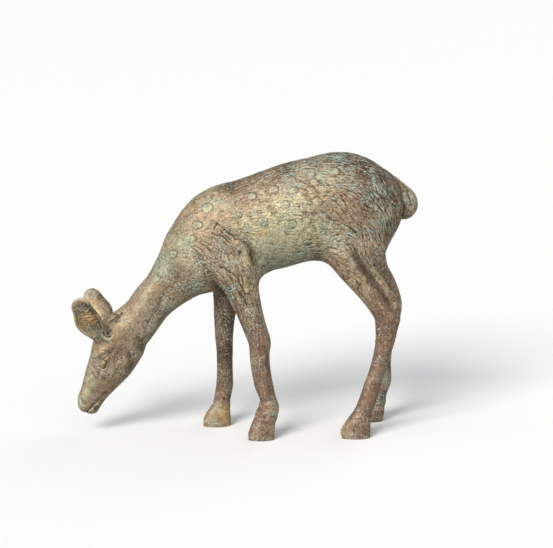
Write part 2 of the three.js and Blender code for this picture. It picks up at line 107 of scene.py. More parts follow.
# The sky lights the fawn, and what the camera sees of it is as pale as the floor.
def makeSky():
    world = bpy.data.worlds.new("studio")
    world.use_nodes = True
    tree = world.node_tree
    light = tree.nodes["Background"]
    light.inputs["Color"].default_value = studio["sky"]
    around = tree.nodes.new("ShaderNodeTexCoord")
    forward = tree.nodes.new("ShaderNodeVectorMath")
    forward.operation = "DOT_PRODUCT"
    forward.inputs[1].default_value = studio["brightSide"]
    tree.links.new(around.outputs["Generated"], forward.inputs[0])
    glow = tree.nodes.new("ShaderNodeMapRange")
    glow.inputs["From Min"].default_value = -0.3
    glow.inputs["To Min"].default_value = studio["skyStrength"]
    glow.inputs["To Max"].default_value = studio["skyStrength"] + studio["skyGlow"]
    tree.links.new(forward.outputs["Value"], glow.inputs["Value"])
    tree.links.new(glow.outputs["Result"], light.inputs["Strength"])
    seen = tree.nodes.new("ShaderNodeBackground")
    seen.inputs["Color"].default_value = studio["backdrop"]
    path = tree.nodes.new("ShaderNodeLightPath")
    either = tree.nodes.new("ShaderNodeMixShader")
    tree.links.new(path.outputs["Is Camera Ray"], either.inputs[0])
    tree.links.new(light.outputs[0], either.inputs[1])
    tree.links.new(seen.outputs[0], either.inputs[2])
    tree.links.new(either.outputs[0], tree.nodes["World Output"].inputs["Surface"])
    bpy.context.scene.world = world
    bpy.context.scene.view_settings.view_transform = "Standard"


def makeLamps():
    for name, (source, width, strength, colour) in studio["lamps"].items():
        data = bpy.data.lights.new(name, "SUN")
        data.angle = math.radians(width)
        data.energy = strength
        data.color = colour
        lamp = bpy.data.objects.new(name, data)
        lamp.rotation_euler = Vector(source).to_track_quat("Z", "Y").to_euler()
        bpy.context.collection.objects.link(lamp)


makeCamera()
makeFloor()
makeSky()
makeLamps()
print("stage: camera, floor and lights")

# ---- the form of the body
# Each station is [x, y, z, radius, width]: the radius is measured in the side view, and width is how wide the
# limb is from side to side, as a share of its height.

trunk = [
    [-91, 0, 409, 87, 0.74],  # brisket
    [-44, 0, 444.5, 108, 0.66],  # withers
    [2, 0, 464, 103.5, 0.72],
    [50, 0, 475.5, 108, 0.76],  # ribs
    [108, 0, 493.5, 110.5, 0.78],  # loin
    [163, 0, 505, 112, 0.77],  # flank
    [211, 0, 515, 110.5, 0.74],  # croup
    [249, 0, 507.5, 96, 0.72],  # rump
]
neck = [
    [-92, 0, 407.5, 85.5, 0.74],
    [-130, 0, 374, 67, 0.72],
    [-171, 0, 331.5, 50.5, 0.78],
    [-206.5, 0, 296, 45.5, 0.82],
    [-236.5, 0, 254, 45, 0.84],
    [-261, 0, 221, 44.2, 0.84],  # throat
]
skull = [
    [-260, 0, 254, 34, 0.9],  # nape
    [-282, 0, 231.5, 40, 0.84],  # poll
    [-298, 0, 201.5, 40, 0.8],  # forehead
    [-308, 0, 167.5, 38.5, 0.86],  # brow
    [-322.5, 0, 133.5, 34.5, 0.8],
    [-340, 0, 100.5, 26, 0.76],  # bridge of the nose
    [-353, 0, 77.5, 21.5, 0.86],
    [-356.5, 0, 66, 18, 0.95],  # muzzle
]
jaw = [
    [-257, 0, 192, 32, 0.86],  # angle of the jaw
    [-280, 0, 155.5, 31.3, 0.86],  # cheek
    [-304, 0, 120.5, 24, 0.8],
    [-326, 0, 88.5, 17.5, 0.8],
    [-343, 0, 59, 15, 0.9],  # chin
]
leftForeleg = [
    [-35, -38, 430.5, 60, 0.55],  # shoulder
    [-22, -47, 389.5, 52, 0.6],  # upper arm
    [-12, -54, 345.5, 38.5, 0.66],  # elbow
    [0, -57, 306.5, 31, 0.8],
    [13, -57, 265.5, 26.5, 0.9],
    [22, -57, 238.5, 25, 0.92],
    [28.5, -57, 216.5, 24.3, 0.92],  # knee
    [28, -57, 189.5, 21.8, 0.9],
    [31, -57, 155.5, 20.8, 0.9],  # cannon
    [37.5, -58, 120.5, 20.3, 0.92],
    [46, -58, 91.5, 17.8, 0.98],  # fetlock
    [48, -59, 70.5, 22.5, 1],
    [44, -60, 55.5, 24, 1],
]
rightForeleg = [
    [-42, 40, 415.5, 58, 0.55],
    [-38, 44, 358.5, 42, 0.65],
    [-40.5, 46, 300.5, 31, 0.8],
    [-46, 46, 255.5, 24, 0.9],
    [-47.5, 46, 209.5, 20.5, 0.92],
    [-46.5, 46, 174.5, 18.5, 0.92],
    [-46.5, 46, 132.5, 17.8, 0.92],
    [-47, 46, 93.5, 19, 0.95],
    [-51, 46, 70.5, 18.5, 1],
    [-54, 45, 52.5, 18, 1],
]
leftHindleg = [
    [238, -30, 503.5, 92, 0.6],  # hip
    [237, -42, 444, 73, 0.6],  # thigh
    [233.5, -50, 400.5, 49.5, 0.68],  # stifle
    [247.5, -54, 366.5, 37, 0.74],
    [272.5, -56, 332.5, 32.5, 0.76],  # gaskin
    [293, -56, 303.5, 31, 0.78],
    [307, -56, 275.5, 29, 0.78],  # hock
    [306, -56, 245.5, 24.5, 0.8],
    [303, -56, 214.5, 20.8, 0.9],
    [296, -56, 185.5, 18, 0.95],  # cannon
    [287.5, -56, 151.5, 17.3, 0.95],
    [275, -57, 112.5, 18, 0.95],
    [267.5, -57, 85.5, 18.8, 1],  # fetlock
    [259, -57, 61.5, 19, 1],
]
rightHindleg = [
    [242, 31, 498.5, 88.6, 0.6],
    [249, 42, 429, 65, 0.6],
    [275, 50, 358.5, 45, 0.7],
    [305, 56, 315.5, 36, 0.76],
    [326, 60, 272.5, 29, 0.78],
    [326, 62, 234.5, 23.5, 0.8],
    [320, 62, 187.5, 18.5, 0.9],
    [315, 62, 140.5, 17.5, 0.95],
    [315, 62, 95.5, 19, 0.95],
    [307, 62, 69.5, 18.5, 1],
    [302, 62, 47.5, 19.5, 1],
]
tail = [
    [300, 0, 566.5, 20, 1],
    [327, 0, 545.5, 21, 1.1],
    [349.5, 0, 520.5, 25, 1.05],
    [353.5, 0, 504, 22.5, 1],
    [349, 0, 492, 15, 1.1],
]

# The folds of skin that close the corners between the belly and the legs.
elbowFold = [
    [-2, 0, 387.5, 30, 1.9],
    [22, 0, 380.5, 24, 2.2],
]
flankFold = [
    [152, 0, 429, 22, 1.8],
    [188, 0, 409, 23, 2.1],
]

# Hooves: the middle of the sole, its length, how high the coronet is where the hoof meets the leg, the
# radius there, and how far it leans back from the middle of the sole.
hooves = [
    {"at": [31, -60], "length": 57, "coronet": 46, "top": 22, "lean": 9},
    {"at": [-65, 45], "length": 62, "coronet": 46, "top": 17, "lean": 12},
    {"at": [240, -58], "length": 63, "coronet": 46, "top": 20, "lean": 13},
    {"at": [284, 62], "length": 62, "coronet": 46, "top": 18, "lean": 18},
]
hoofWidth = 46

# Ears: the middle of the root and of the tip, the way the hollow faces, the thickness and the sideways bow.
ears = [
    {"root": [-322, -30, 236], "tip": [-356, -55, 302], "faces": [-0.2, -1, 0.1], "thick": 9, "bend": -3},
    {"root": [-308, 26, 242], "tip": [-339, 53, 297], "faces": [-0.45, 1, 0.1], "thick": 9, "bend": -1},
]
earRows = [[20, 9], [24.5, 13], [28, 13], [28.5, 11], [25, 8], [21.5, 5]]  # half width and curl, root to tip
earSteps = 6
stepsPerSpan = 4


def unit(vector):
    vector = np.asarray(vector, float)
    return vector / np.maximum(np.linalg.norm(vector, axis=-1, keepdims=True), 1e-9)


# Two distances joined into one, with a fillet about k wide between them.
def melt(a, b, k):
    h = np.maximum(k - np.abs(a - b), 0) / k
    return np.minimum(a, b) - h * h * k / 4


# A Catmull-Rom curve through rows of numbers, with each span cut into equal steps.
def smoothRows(rows, steps):
    rows = np.array(rows, float)
    padded = np.vstack([rows[:1], rows, rows[-1:]])
    made = []
    for a, b, d, e in zip(padded, padded[1:], padded[2:], padded[3:]):
        for t in np.arange(steps) / steps:
            squared = (2 * a - 5 * b + 4 * d - e) * t * t
            cubed = (3 * b - a - 3 * d + e) * t**3
            made.append(0.5 * (2 * b + (d - a) * t + squared + cubed))
    made.append(rows[-1])
    return np.array(made)


# A chain of balls through the stations, flattened from side to side. It gives the distance to its surface and
# the box that holds it.
def limb(stations):
    rows = smoothRows(stations, stepsPerSpan)

    def distance(points):
        nearest = np.full(len(points), np.inf)
        for a, b in zip(rows, rows[1:]):
            run = b[:3] - a[:3]
            t = np.clip((points - a[:3]) @ run / (run @ run), 0, 1)
            apart = points - a[:3] - t[:, None] * run
            apart[:, 1] /= a[4] + (b[4] - a[4]) * t
            radius = a[3] + (b[3] - a[3]) * t
            nearest = np.minimum(nearest, np.sqrt((apart * apart).sum(1)) - radius)
        return nearest

    reach = rows[:, 3:4] * np.maximum(1, rows[:, 4:5])
    return distance, (rows[:, :3] - reach).min(0), (rows[:, :3] + reach).max(0)


# A hoof: two claws side by side, each a wedge that widens forward and down to the sole, on a round coronet.
def hoof(one):
    x, y = one["at"]
    middle = one["top"] + (0.5 * one["length"] - one["top"]) * 0.55
    claws = [
        limb([
            [x + one["lean"], y + side * 0.1 * hoofWidth, one["coronet"], one["top"], 0.78],
            [x + 0.5 * one["lean"], y + side * 0.2 * hoofWidth, 0.55 * one["coronet"], middle, 0.55],
            [x, y + side * 0.25 * hoofWidth, 0.1 * one["coronet"], 0.5 * one["length"], 0.4],
        ])
        for side in (-1, 1)
    ]
    low = np.minimum(claws[0][1], claws[1][1])
    high = np.maximum(claws[0][2], claws[1][2])
    return lambda points: melt(claws[0][0](points), claws[1][0](points), 2), low, high


# Places on an ear: the share of its length, how far across, how far out of its middle sheet, its half width
# there, how far past its ends, and the way its hollow faces.
def earPlaces(one, points):
    root = np.array(one["root"], float)
    along = np.array(one["tip"], float) - root
    length = np.linalg.norm(along)
    along = along / length
    outward = unit(one["faces"])
    outward = unit(outward - along * (outward @ along))
    across = np.cross(along, outward)
    rows = smoothRows(earRows, earSteps)
    offset = points - root
    u = offset @ along
    share = np.clip(u / length, 0, 1)
    at = share * (len(rows) - 1)
    half = np.interp(at, np.arange(len(rows)), rows[:, 0])
    curl = np.interp(at, np.arange(len(rows)), rows[:, 1])
    v = offset @ across - one["bend"] * np.sin(math.pi * share)
    w = offset @ outward - curl * (np.minimum((v / half) ** 2, 1.5) - 0.35)
    beyond = np.maximum(0, np.maximum(-u, u - length))
    return share, v, w, half, beyond, outward


# Which of those places are on the ear itself.
def onEar(one, places):
    share, v, w, half, beyond, outward = places
    return (np.abs(w) < one["thick"]) & (np.abs(v) < half + 6) & (beyond < 6)


# An ear: a cupped leaf with a round edge.
def ear(one):
    def distance(points):
        share, v, w, half, beyond, outward = earPlaces(one, points)
        pastEdge = np.maximum(0, np.hypot(v, beyond) - half + one["thick"] / 2)
        return np.hypot(pastEdge, w) - one["thick"] / 2

    ends = np.array([one["root"], one["tip"]], float)
    return distance, ends.min(0) - 35, ends.max(0) + 35


# What the body is joined from, with the width of the fillet where each part meets those before it.
body = [
    (limb(neck), 14),
    (limb(trunk), 14),
    (limb(skull), 14),
    (limb(jaw), 10),
    (limb(leftForeleg), 28),
    (limb(rightForeleg), 28),
    (limb(leftHindleg), 28),
    (limb(rightHindleg), 28),
    *[(hoof(one), 7) for one in hooves],
    *[(ear(one), 14) for one in ears],
    (limb(elbowFold), 24),
    (limb(flankFold), 24),
    (limb(tail), 6),
]


farOff = 1e3
bodyMargin = 16  # how far outside a limb's box its distance is still worked out


def plainBody(points):
    d = np.full(len(points), farOff)
    for (distance, low, high), fillet in body:
        margin = fillet + bodyMargin
        near = np.flatnonzero(((points > low - margin) & (points < high + margin)).all(1))
        d[near] = melt(d[near], distance(points[near]), fillet)
    return d


left = -1
right = 1
both = 0

# Strokes of the modelling tool: [name, side, width, depth, path]. The path is [x, z] points in the side view.
# Each lifts the surface by its depth, or sinks it where that is negative, and fades out over its width.
strokes = [
    ["brow", both, 7, 3.5, [[-340, 168], [-333, 180], [-320, 194], [-302, 204], [-288, 210]]],
    ["eyelid", both, 4.5, -2.2,
     [[-316, 146], [-323, 160], [-323, 172], [-314, 184], [-300, 192], [-290, 200]]],
    ["under the eye", both, 5, -1.5, [[-320, 150], [-310, 156], [-300, 170], [-297, 186], [-294, 196]]],
    ["eye", both, 8, 3, [[-320, 152], [-315, 162], [-307, 178], [-299, 192]]],
    ["tear duct", both, 4, -2.5, [[-317, 158], [-324, 144], [-331, 126]]],
    ["cheekbone", both, 9, 3, [[-316, 136], [-296, 152], [-278, 166], [-264, 180]]],
    ["side of the nose", both, 9, -3, [[-338, 96], [-328, 114], [-316, 130], [-308, 138]]],
    ["mouth", both, 3, -3, [[-360, 45], [-352, 54], [-344, 62], [-336, 71], [-322, 85], [-308, 101]]],
    ["nostril", both, 3.5, -2.5, [[-367, 84], [-364, 76], [-360, 70], [-355, 68]]],
    ["back of the cheek", both, 7, -3.5, [[-274, 214], [-264, 198], [-255, 180], [-253, 160], [-264, 146]]],
    ["root of the ear", both, 5, -4, [[-268, 282], [-279, 270], [-291, 256], [-301, 244], [-304, 236]]],
    ["side of the neck", both, 14, 3, [[-298, 200], [-268, 246], [-238, 288], [-206, 336], [-168, 390]]],
    ["throat groove", both, 12, -3, [[-228, 246], [-210, 270], [-178, 324], [-143, 374]]],
    ["shoulder crease", left, 5, -4,
     [[-66, 488], [-52, 468], [-36, 456], [-18, 452], [-1, 442], [8, 426], [13, 400], [19, 376]]],
    ["elbow muscle", left, 14, 6, [[-43, 440], [-22, 440], [-6, 432], [1, 410], [4, 384], [4, 368]]],
    ["arm groove", left, 5, -5, [[-60, 392], [-44, 384], [-30, 370], [-20, 348], [-8, 322], [8, 292]]],
    ["arm muscle", left, 10, 4, [[-60, 380], [-42, 362], [-28, 340], [-14, 308]]],
    ["thigh groove", left, 11, -6,
     [[210, 456], [227, 430], [245, 396], [276, 348], [308, 298], [314, 280]]],
    ["heel tendon", left, 8, 4, [[252, 406], [272, 380], [298, 342], [322, 304], [329, 272]]],
    ["shoulder crease", right, 6, -5,
     [[-74, 486], [-56, 462], [-36, 446], [-14, 432], [-4, 400], [-4, 366]]],
    ["elbow muscle", right, 14, 5, [[-54, 436], [-32, 432], [-18, 410], [-14, 376]]],
    ["thigh groove", right, 11, -6, [[228, 446], [252, 410], [282, 368], [312, 320], [330, 280]]],
    ["heel tendon", right, 8, 4, [[270, 426], [302, 370], [334, 310], [344, 270]]],
]
sideReach = 2.5  # how far a stroke reaches along the side direction, as a share of its reach in the side view
strokeReach = 3  # how many widths away a stroke ends
strokeSteps = 3
besideBody = 130  # where tools start from, well clear of either side

# How a tool is pushed in: steps that are a share of the distance still to go.
pushes = {"most": 400, "close": 0.05, "share": 0.4, "least": 0.3, "longest": 40}


# The points where tools pushed in from the side first meet the body.
def onSide(points):
    points = points.copy()
    side = np.sign(points[:, 1])
    for _ in range(pushes["most"]):
        d = plainBody(points)
        out = (d > pushes["close"]) & (side * points[:, 1] > 0)
        if not out.any():
            break
        points[out, 1] -= (side * np.clip(d * pushes["share"], pushes["least"], pushes["longest"]))[out]
    return points


# The paths of the strokes laid on the body, all in one go.
def layPaths(strokes):
    starts = [[x, (side or left) * besideBody, z] for _, side, _, _, path in strokes for x, z in path]
    laid = onSide(np.array(starts, float))
    paths = []
    first = 0
    for *_, path in strokes:
        last = first + len(path)
        paths.append(smoothRows(laid[first:last], strokeSteps))
        first = last
    return paths


# How much the strokes lift the surface at each point.
def stroked(points, strokes, paths):
    lift = np.zeros(len(points))
    mirrored = points * [1, 0, 1] - np.abs(points * [0, 1, 0])
    for (name, side, width, depth, path), rows in zip(strokes, paths):
        places = points if side else mirrored
        reach = width * strokeReach * np.array([1, sideReach, 1])
        near = np.flatnonzero(((places > rows.min(0) - reach) & (places < rows.max(0) + reach)).all(1))
        p = places[near]
        nearest = np.full(len(p), np.inf)
        share = np.zeros(len(p))
        for i, (a, b) in enumerate(zip(rows, rows[1:])):
            run = b - a
            t = (p[:, 0] - a[0]) * run[0] + (p[:, 2] - a[2]) * run[2]
            t = np.clip(t / (run[0] ** 2 + run[2] ** 2 + 1e-9), 0, 1)
            apart = p - a - t[:, None] * run
            apart[:, 1] /= sideReach
            apart = (apart * apart).sum(1)
            closer = apart < nearest
            nearest[closer] = apart[closer]
            share[closer] = ((i + t) / (len(rows) - 1))[closer]
        taper = np.clip(np.minimum(share, 1 - share) * 4, 0, 1)
        lift[near] += depth * taper * np.exp(-nearest / width**2)
    return lift


# ---- the fine surface

casting = {
    "voxel": 1.8,  # between the points of the fine surface
    # where the points are twice as close, on both sides of the body: [x, y, z, how far round it]
    "details": [
        [-312, 30, 167, 24], [-348, 10, 62, 30], [-300, 30, 236, 18], [-275, 30, 195, 18],
        [-42, 66, 460, 32], [-24, 66, 360, 28],
    ],
    "triangles": 196000,
}


def readPoints(mesh):
    flat = np.empty(len(mesh.vertices) * 3)
    mesh.vertices.foreach_get("co", flat)
    return flat.reshape(-1, 3) / mm


def writePoints(mesh, points):
    mesh.vertices.foreach_set("co", (points * mm).ravel())
    mesh.update()


def readNormals(mesh):
    flat = np.empty(len(mesh.vertices) * 3)
    mesh.vertex_normals.foreach_get("vector", flat)
    return flat.reshape(-1, 3)


def addAttribute(mesh, name, values):
    kind, key = ("FLOAT_VECTOR", "vector") if values.ndim == 2 else ("FLOAT", "value")
    attribute = mesh.attributes.new(name, kind, "POINT")
    attribute.data.foreach_set(key, values.ravel().astype(np.float32))


def applyModifiers(piece):
    graph = bpy.context.evaluated_depsgraph_get()
    made = bpy.data.meshes.new_from_object(piece.evaluated_get(graph))
    piece.modifiers.clear()
    piece.data = made


def field(points):
    return plainBody(points) - stroked(points, strokes, strokePaths)


# Moves the points onto the true surface, along their normals.
def settle(mesh, rounds=3, step=0.5):
    points = readPoints(mesh)
    for _ in range(rounds):
        normals = readNormals(mesh)
        here = field(points)
        slope = (field(points + normals * step) - here) / step
        points -= normals * np.clip(here / np.maximum(slope, 0.3), -2, 2)[:, None]
        writePoints(mesh, points)


# How near each point is to a detail: 0 or less inside one.
def outsideDetails(points):
    apart = np.full(len(points), np.inf)
    for x, y, z, reach in casting["details"]:
        offset = np.abs(points * [0, 1, 0]) + points * [1, 0, 1] - [x, y, z]
        apart = np.minimum(apart, np.linalg.norm(offset, axis=1) - reach)
    return apart


# An even, fine mesh over the cast solid, with closer points at the details, laid on the true surface.
def fineSurface():
    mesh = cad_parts["fawn"].data.copy()
    mesh.materials.clear()
    work = bmesh.new()
    work.from_mesh(mesh)
    bmesh.ops.remove_doubles(work, verts=work.verts, dist=1e-6)
    work.to_mesh(mesh)
    work.free()
    piece = bpy.data.objects.new("fawn_bronze", mesh)
    bpy.context.collection.objects.link(piece)
    even = piece.modifiers.new("even", "REMESH")
    even.mode = "VOXEL"
    even.voxel_size = casting["voxel"] * mm
    applyModifiers(piece)

    work = bmesh.new()
    work.from_mesh(piece.data)
    inside = outsideDetails(readPoints(piece.data)) <= 0
    edges = [e for e in work.edges if all(inside[v.index] for v in e.verts)]
    bmesh.ops.subdivide_edges(work, edges=edges, cuts=1, use_grid_fill=True)
    bmesh.ops.triangulate(work, faces=work.faces)
    work.to_mesh(piece.data)
    work.free()
    settle(piece.data)
    return piece


strokePaths = layPaths(strokes)
fawn = fineSurface()
print("stage: fine surface,", len(fawn.data.vertices), "points")

# ---- carving too fine for the solid

fineStrokes = [
    # the eye, its lids and its folds
    ["eye slit", both, 1.6, -2.3,
     [[-325, 172], [-319, 177], [-312, 177], [-306, 171], [-308, 163], [-312, 157], [-318, 158],
      [-323, 164], [-325, 172]]],
    ["eyeball", both, 4.0, 1.9, [[-318, 170], [-315, 168], [-313, 165]]],
    ["brow crease", both, 1.5, -1.5, [[-320, 179], [-311, 182], [-303, 187], [-299, 193], [-302, 200]]],
    ["brow fold", both, 4, 1.5, [[-332, 178], [-326, 185], [-317, 191], [-308, 196]]],
    ["lower lid", both, 2.0, 1.4,
     [[-327, 168], [-325, 160], [-319, 153], [-312, 153], [-304, 160], [-302, 170]]],
    ["fold under the eye", both, 2, -0.7, [[-315, 146], [-305, 147], [-297, 155], [-294, 168]]],
    ["tear duct", both, 2.2, -0.6, [[-327, 165], [-329, 154], [-330, 141]]],
    ["cheek hair", both, 1.3, -0.8, [[-298, 186], [-290, 196], [-283, 205]]],
    ["cheek hair", both, 1.3, -0.8, [[-296, 172], [-286, 184], [-274, 194]]],
    ["cheek hair", both, 1.3, -0.8, [[-293, 162], [-282, 174], [-270, 182]]],
    ["cheek hair", both, 1.2, -0.7, [[-300, 150], [-290, 156], [-278, 168], [-268, 172]]],
    ["cheek hair", both, 1.3, -0.8, [[-290, 208], [-284, 217], [-272, 226], [-262, 240]]],
    ["cheek hair", both, 1.2, -0.7, [[-281, 214], [-270, 220], [-262, 228]]],
    # the nose and the mouth
    ["mouth", both, 1.1, -1.3, [[-362, 42], [-352, 55], [-344, 62], [-336, 71], [-328, 78], [-320, 87]]],
    ["cleft of the lips", both, 2.0, -2.4, [[-372, 34], [-362, 43], [-354, 51], [-348, 58]]],
    ["lower lip", both, 2.4, 0.8, [[-346, 52], [-336, 64], [-324, 76], [-310, 90]]],
    ["upper lip", both, 3, 0.7, [[-358, 62], [-346, 70], [-334, 82], [-320, 96]]],
    ["nostril", both, 1.6, -0.8, [[-368, 80], [-364, 75], [-360, 71], [-355, 69]]],
    ["nostril wing", both, 2.6, 0.6, [[-363, 89], [-358, 80], [-352, 74]]],
    ["nose line", both, 2.6, -0.4, [[-326, 128], [-332, 114], [-341, 98], [-347, 84]]],
    ["nose edge", both, 2.6, 0.8, [[-341, 158], [-347, 130], [-355, 104], [-362, 90]]],
    ["cheek line", both, 3, -0.3, [[-312, 134], [-300, 124], [-292, 122], [-280, 132]]],
    # behind the cheek and round the root of the ear
    ["hollow behind the cheek", both, 3.5, -0.9, [[-260, 193], [-256, 182], [-258, 172]]],
    ["edge of the cheek", both, 3, 1.0, [[-270, 190], [-266, 178], [-266, 160], [-274, 144]]],
    ["notch of the ear", both, 2.2, -2.2,
     [[-310, 247], [-312, 240], [-309, 232], [-303, 228], [-297, 229], [-292, 236]]],
    ["lip of the notch", both, 2.2, 1.3, [[-314, 232], [-308, 224], [-300, 221], [-292, 224], [-288, 232]]],
    ["ear canal", both, 2.0, -1.8, [[-306, 242], [-302, 236], [-299, 240], [-295, 235]]],
    ["nape groove", both, 3.4, -1.6, [[-277, 280], [-286, 269], [-294, 260], [-301, 253]]],
    # the shoulder
    ["shoulder crease", left, 1.6, -1.6,
     [[-69, 488], [-57, 478], [-45, 469], [-33, 460], [-22, 451], [-10, 449], [0, 442], [7, 431]]],
    ["edge of the shoulder", left, 8, -1.2,
     [[-14, 451], [2, 441], [10, 428], [16, 412], [20, 394], [24, 374]]],
    ["wrinkle", left, 1.4, -1.7, [[-72, 472], [-65, 478], [-58, 483]]],
    ["wrinkle", left, 1.5, -2.0, [[-57, 471], [-49, 461], [-41, 455], [-31, 447]]],
    ["wrinkle", left, 1.4, -1.7, [[-64, 459], [-53, 456], [-43, 450], [-33, 439]]],
    ["wrinkle", left, 1.3, -1.5, [[-46, 466], [-36, 462], [-25, 456]]],
    ["wrinkle", left, 1.4, -1.6, [[-96, 455], [-86, 453], [-76, 449]]],
    ["wrinkle", left, 1.4, -1.6, [[-97, 449], [-87, 443], [-78, 440], [-70, 436]]],
    ["wrinkle", left, 1.6, 1.4, [[-51, 462], [-42, 459], [-31, 452]]],
    ["wrinkle", left, 1.5, 1.4, [[-60, 485], [-48, 474], [-34, 466], [-22, 457]]],
    ["wrinkle", left, 1.3, -1.5, [[-30, 462], [-22, 458], [-12, 457]]],
    ["wrinkle", left, 1.3, -1.5, [[-78, 464], [-68, 461], [-60, 455]]],
    ["wrinkle", left, 1.3, -1.5, [[-52, 446], [-44, 440], [-38, 432]]],
    ["coat", left, 1.6, -1.3, [[-122, 434], [-110, 425], [-100, 416], [-86, 400]]],
    ["coat", left, 1.6, -1.3, [[-114, 438], [-102, 430], [-90, 419]]],
    ["coat", left, 1.6, -1.3, [[-102, 442], [-90, 434], [-80, 426], [-72, 414]]],
    # the upper arm and the forelegs
    ["arm groove", left, 1.9, -2.4,
     [[-47, 386], [-40, 381], [-33, 377], [-24, 369], [-16, 357], [-10, 345], [-5, 330], [-2, 314]]],
    ["arm crack", left, 1.4, -1.6, [[-40, 374], [-36, 369], [-30, 362]]],
    ["arm crack", left, 1.4, -1.6, [[-28, 381], [-20, 374], [-15, 365]]],
    ["arm crack", left, 1.5, -1.6, [[-12, 377], [-10, 363], [-5, 346]]],
    ["arm edge", left, 3, 1.4, [[8, 318], [24, 262], [34, 216], [40, 150], [43, 110]]],
    ["wart on the foreleg", left, 4.5, 2.4, [[-4, 341], [0, 338], [4, 335]]],
    ["shoulder crease", right, 2.4, -2.4,
     [[-74, 486], [-56, 462], [-36, 446], [-14, 432], [-4, 400], [-4, 366]]],
    # the thigh and the hind legs
    ["thigh groove", left, 9, -1.2,
     [[216, 446], [226, 424], [238, 402], [251, 384], [267, 362], [283, 340], [300, 314], [314, 292]]],
    ["heel tendon", left, 5, 2.4,
     [[255, 414], [270, 396], [286, 378], [302, 352], [318, 322], [328, 290], [330, 250]]],
    ["cannon ridge", left, 2.6, 1.6, [[288, 244], [285, 222], [273, 184], [258, 150], [244, 118]]],
    ["thigh groove", right, 7, -3, [[228, 446], [252, 410], [282, 368], [312, 320], [330, 280]]],
    # folds and long locks of the coat on the back and the rump
    ["coat", both, 1.8, -1.0, [[106, 577], [118, 572], [131, 564], [148, 557]]],
    ["coat", both, 1.8, -1.0, [[126, 574], [138, 565], [152, 554], [164, 543]]],
    ["coat", both, 1.7, -1.0, [[100, 568], [112, 560], [122, 557], [136, 548]]],
    ["coat", both, 1.7, -1.0, [[118, 548], [130, 543], [142, 534]]],
    ["coat", both, 1.7, -1.0, [[146, 578], [158, 570], [168, 558]]],
    ["tail lock", both, 2.6, -1.3, [[342, 556], [352, 540], [358, 522], [358, 506]]],
    ["edge of the tail", both, 3, -1.1, [[326, 570], [334, 556], [337, 532], [336, 510], [331, 490]]],
]
wander = {"reach": 0.9, "size": 7.0}  # how far the fine strokes stray from a true line, and over what length

earLocks = {
    "from": 0.3,  # the locks lie between these shares of the ear's length
    "to": 0.95,
    "step": 8.5,
    "lift": 2.5,
    "middle": 0.2,  # the middle and the half width of the band of locks, as shares of the ear's half width
    "spread": 0.5,
    "rim": 1.2,
}

hoofCut = {
    "coronet": 0.4,  # how deep its groove is, and how high the ridge under it
    "groove": 2.6,  # how wide each is
    "ridge": 4.0,
    "slope": 0.22,  # how the coronet climbs towards the heel
    "rings": 0.1,
    "ringStep": 5.5,
    "cleft": 3.0,
    "cleftWidth": 2.4,
}


# Ridges of hair across the inside of an ear, and a rim round its edge.
def earRelief(points, normals):
    lift = np.zeros(len(points))
    for one in ears:
        places = earPlaces(one, points)
        share, v, w, half, beyond, outward = places
        inside = onEar(one, places) * (share > 0.02) * np.clip((normals @ outward - 0.1) / 0.4, 0, 1)
        across = v / half
        length = np.linalg.norm(np.array(one["tip"]) - one["root"])
        phase = share * length / earLocks["step"]
        phase += 0.35 * np.sin(4 * across) + 0.2 * np.sin(9 * across + 14 * share)
        band = np.clip(1.4 - 1.2 * np.abs(across - earLocks["middle"]) / earLocks["spread"], 0, 1)
        band *= np.clip(8 * (share - earLocks["from"]), 0, 1) * np.clip(8 * (earLocks["to"] - share), 0, 1)
        lift += inside * earLocks["lift"] * band * np.maximum(np.cos(2 * math.pi * phase), -0.3)
        edge = (np.abs(v) - half + 3) / 2.4
        lift += inside * earLocks["rim"] * np.exp(-edge * edge)
    return lift


# The coronet's groove, the growth rings and the cleft of each hoof.
def hoofRelief(points, normals):
    lift = np.zeros(len(points))
    for one in hooves:
        x, y = one["at"]
        offset = points - [x + 0.4 * one["lean"], y, 0]
        near = (np.abs(offset[:, 0]) < one["length"] * 0.85) & (np.abs(offset[:, 1]) < hoofWidth * 0.8)
        height = points[:, 2] + hoofCut["slope"] * (points[:, 0] - x)
        top = one["coronet"] - 2
        lift -= near * hoofCut["coronet"] * np.exp(-(((height - top) / hoofCut["groove"]) ** 2))
        lift += near * hoofCut["coronet"] * np.exp(-(((height - top - 6) / hoofCut["ridge"]) ** 2))
        horn = near & (height < top - 2)
        lift += horn * hoofCut["rings"] * np.cos(2 * math.pi * height / hoofCut["ringStep"])
        front = near & (points[:, 0] < x + one["lean"]) & (height < top + 4)
        lift -= front * hoofCut["cleft"] * np.exp(-((offset[:, 1] / hoofCut["cleftWidth"]) ** 2))
    return lift


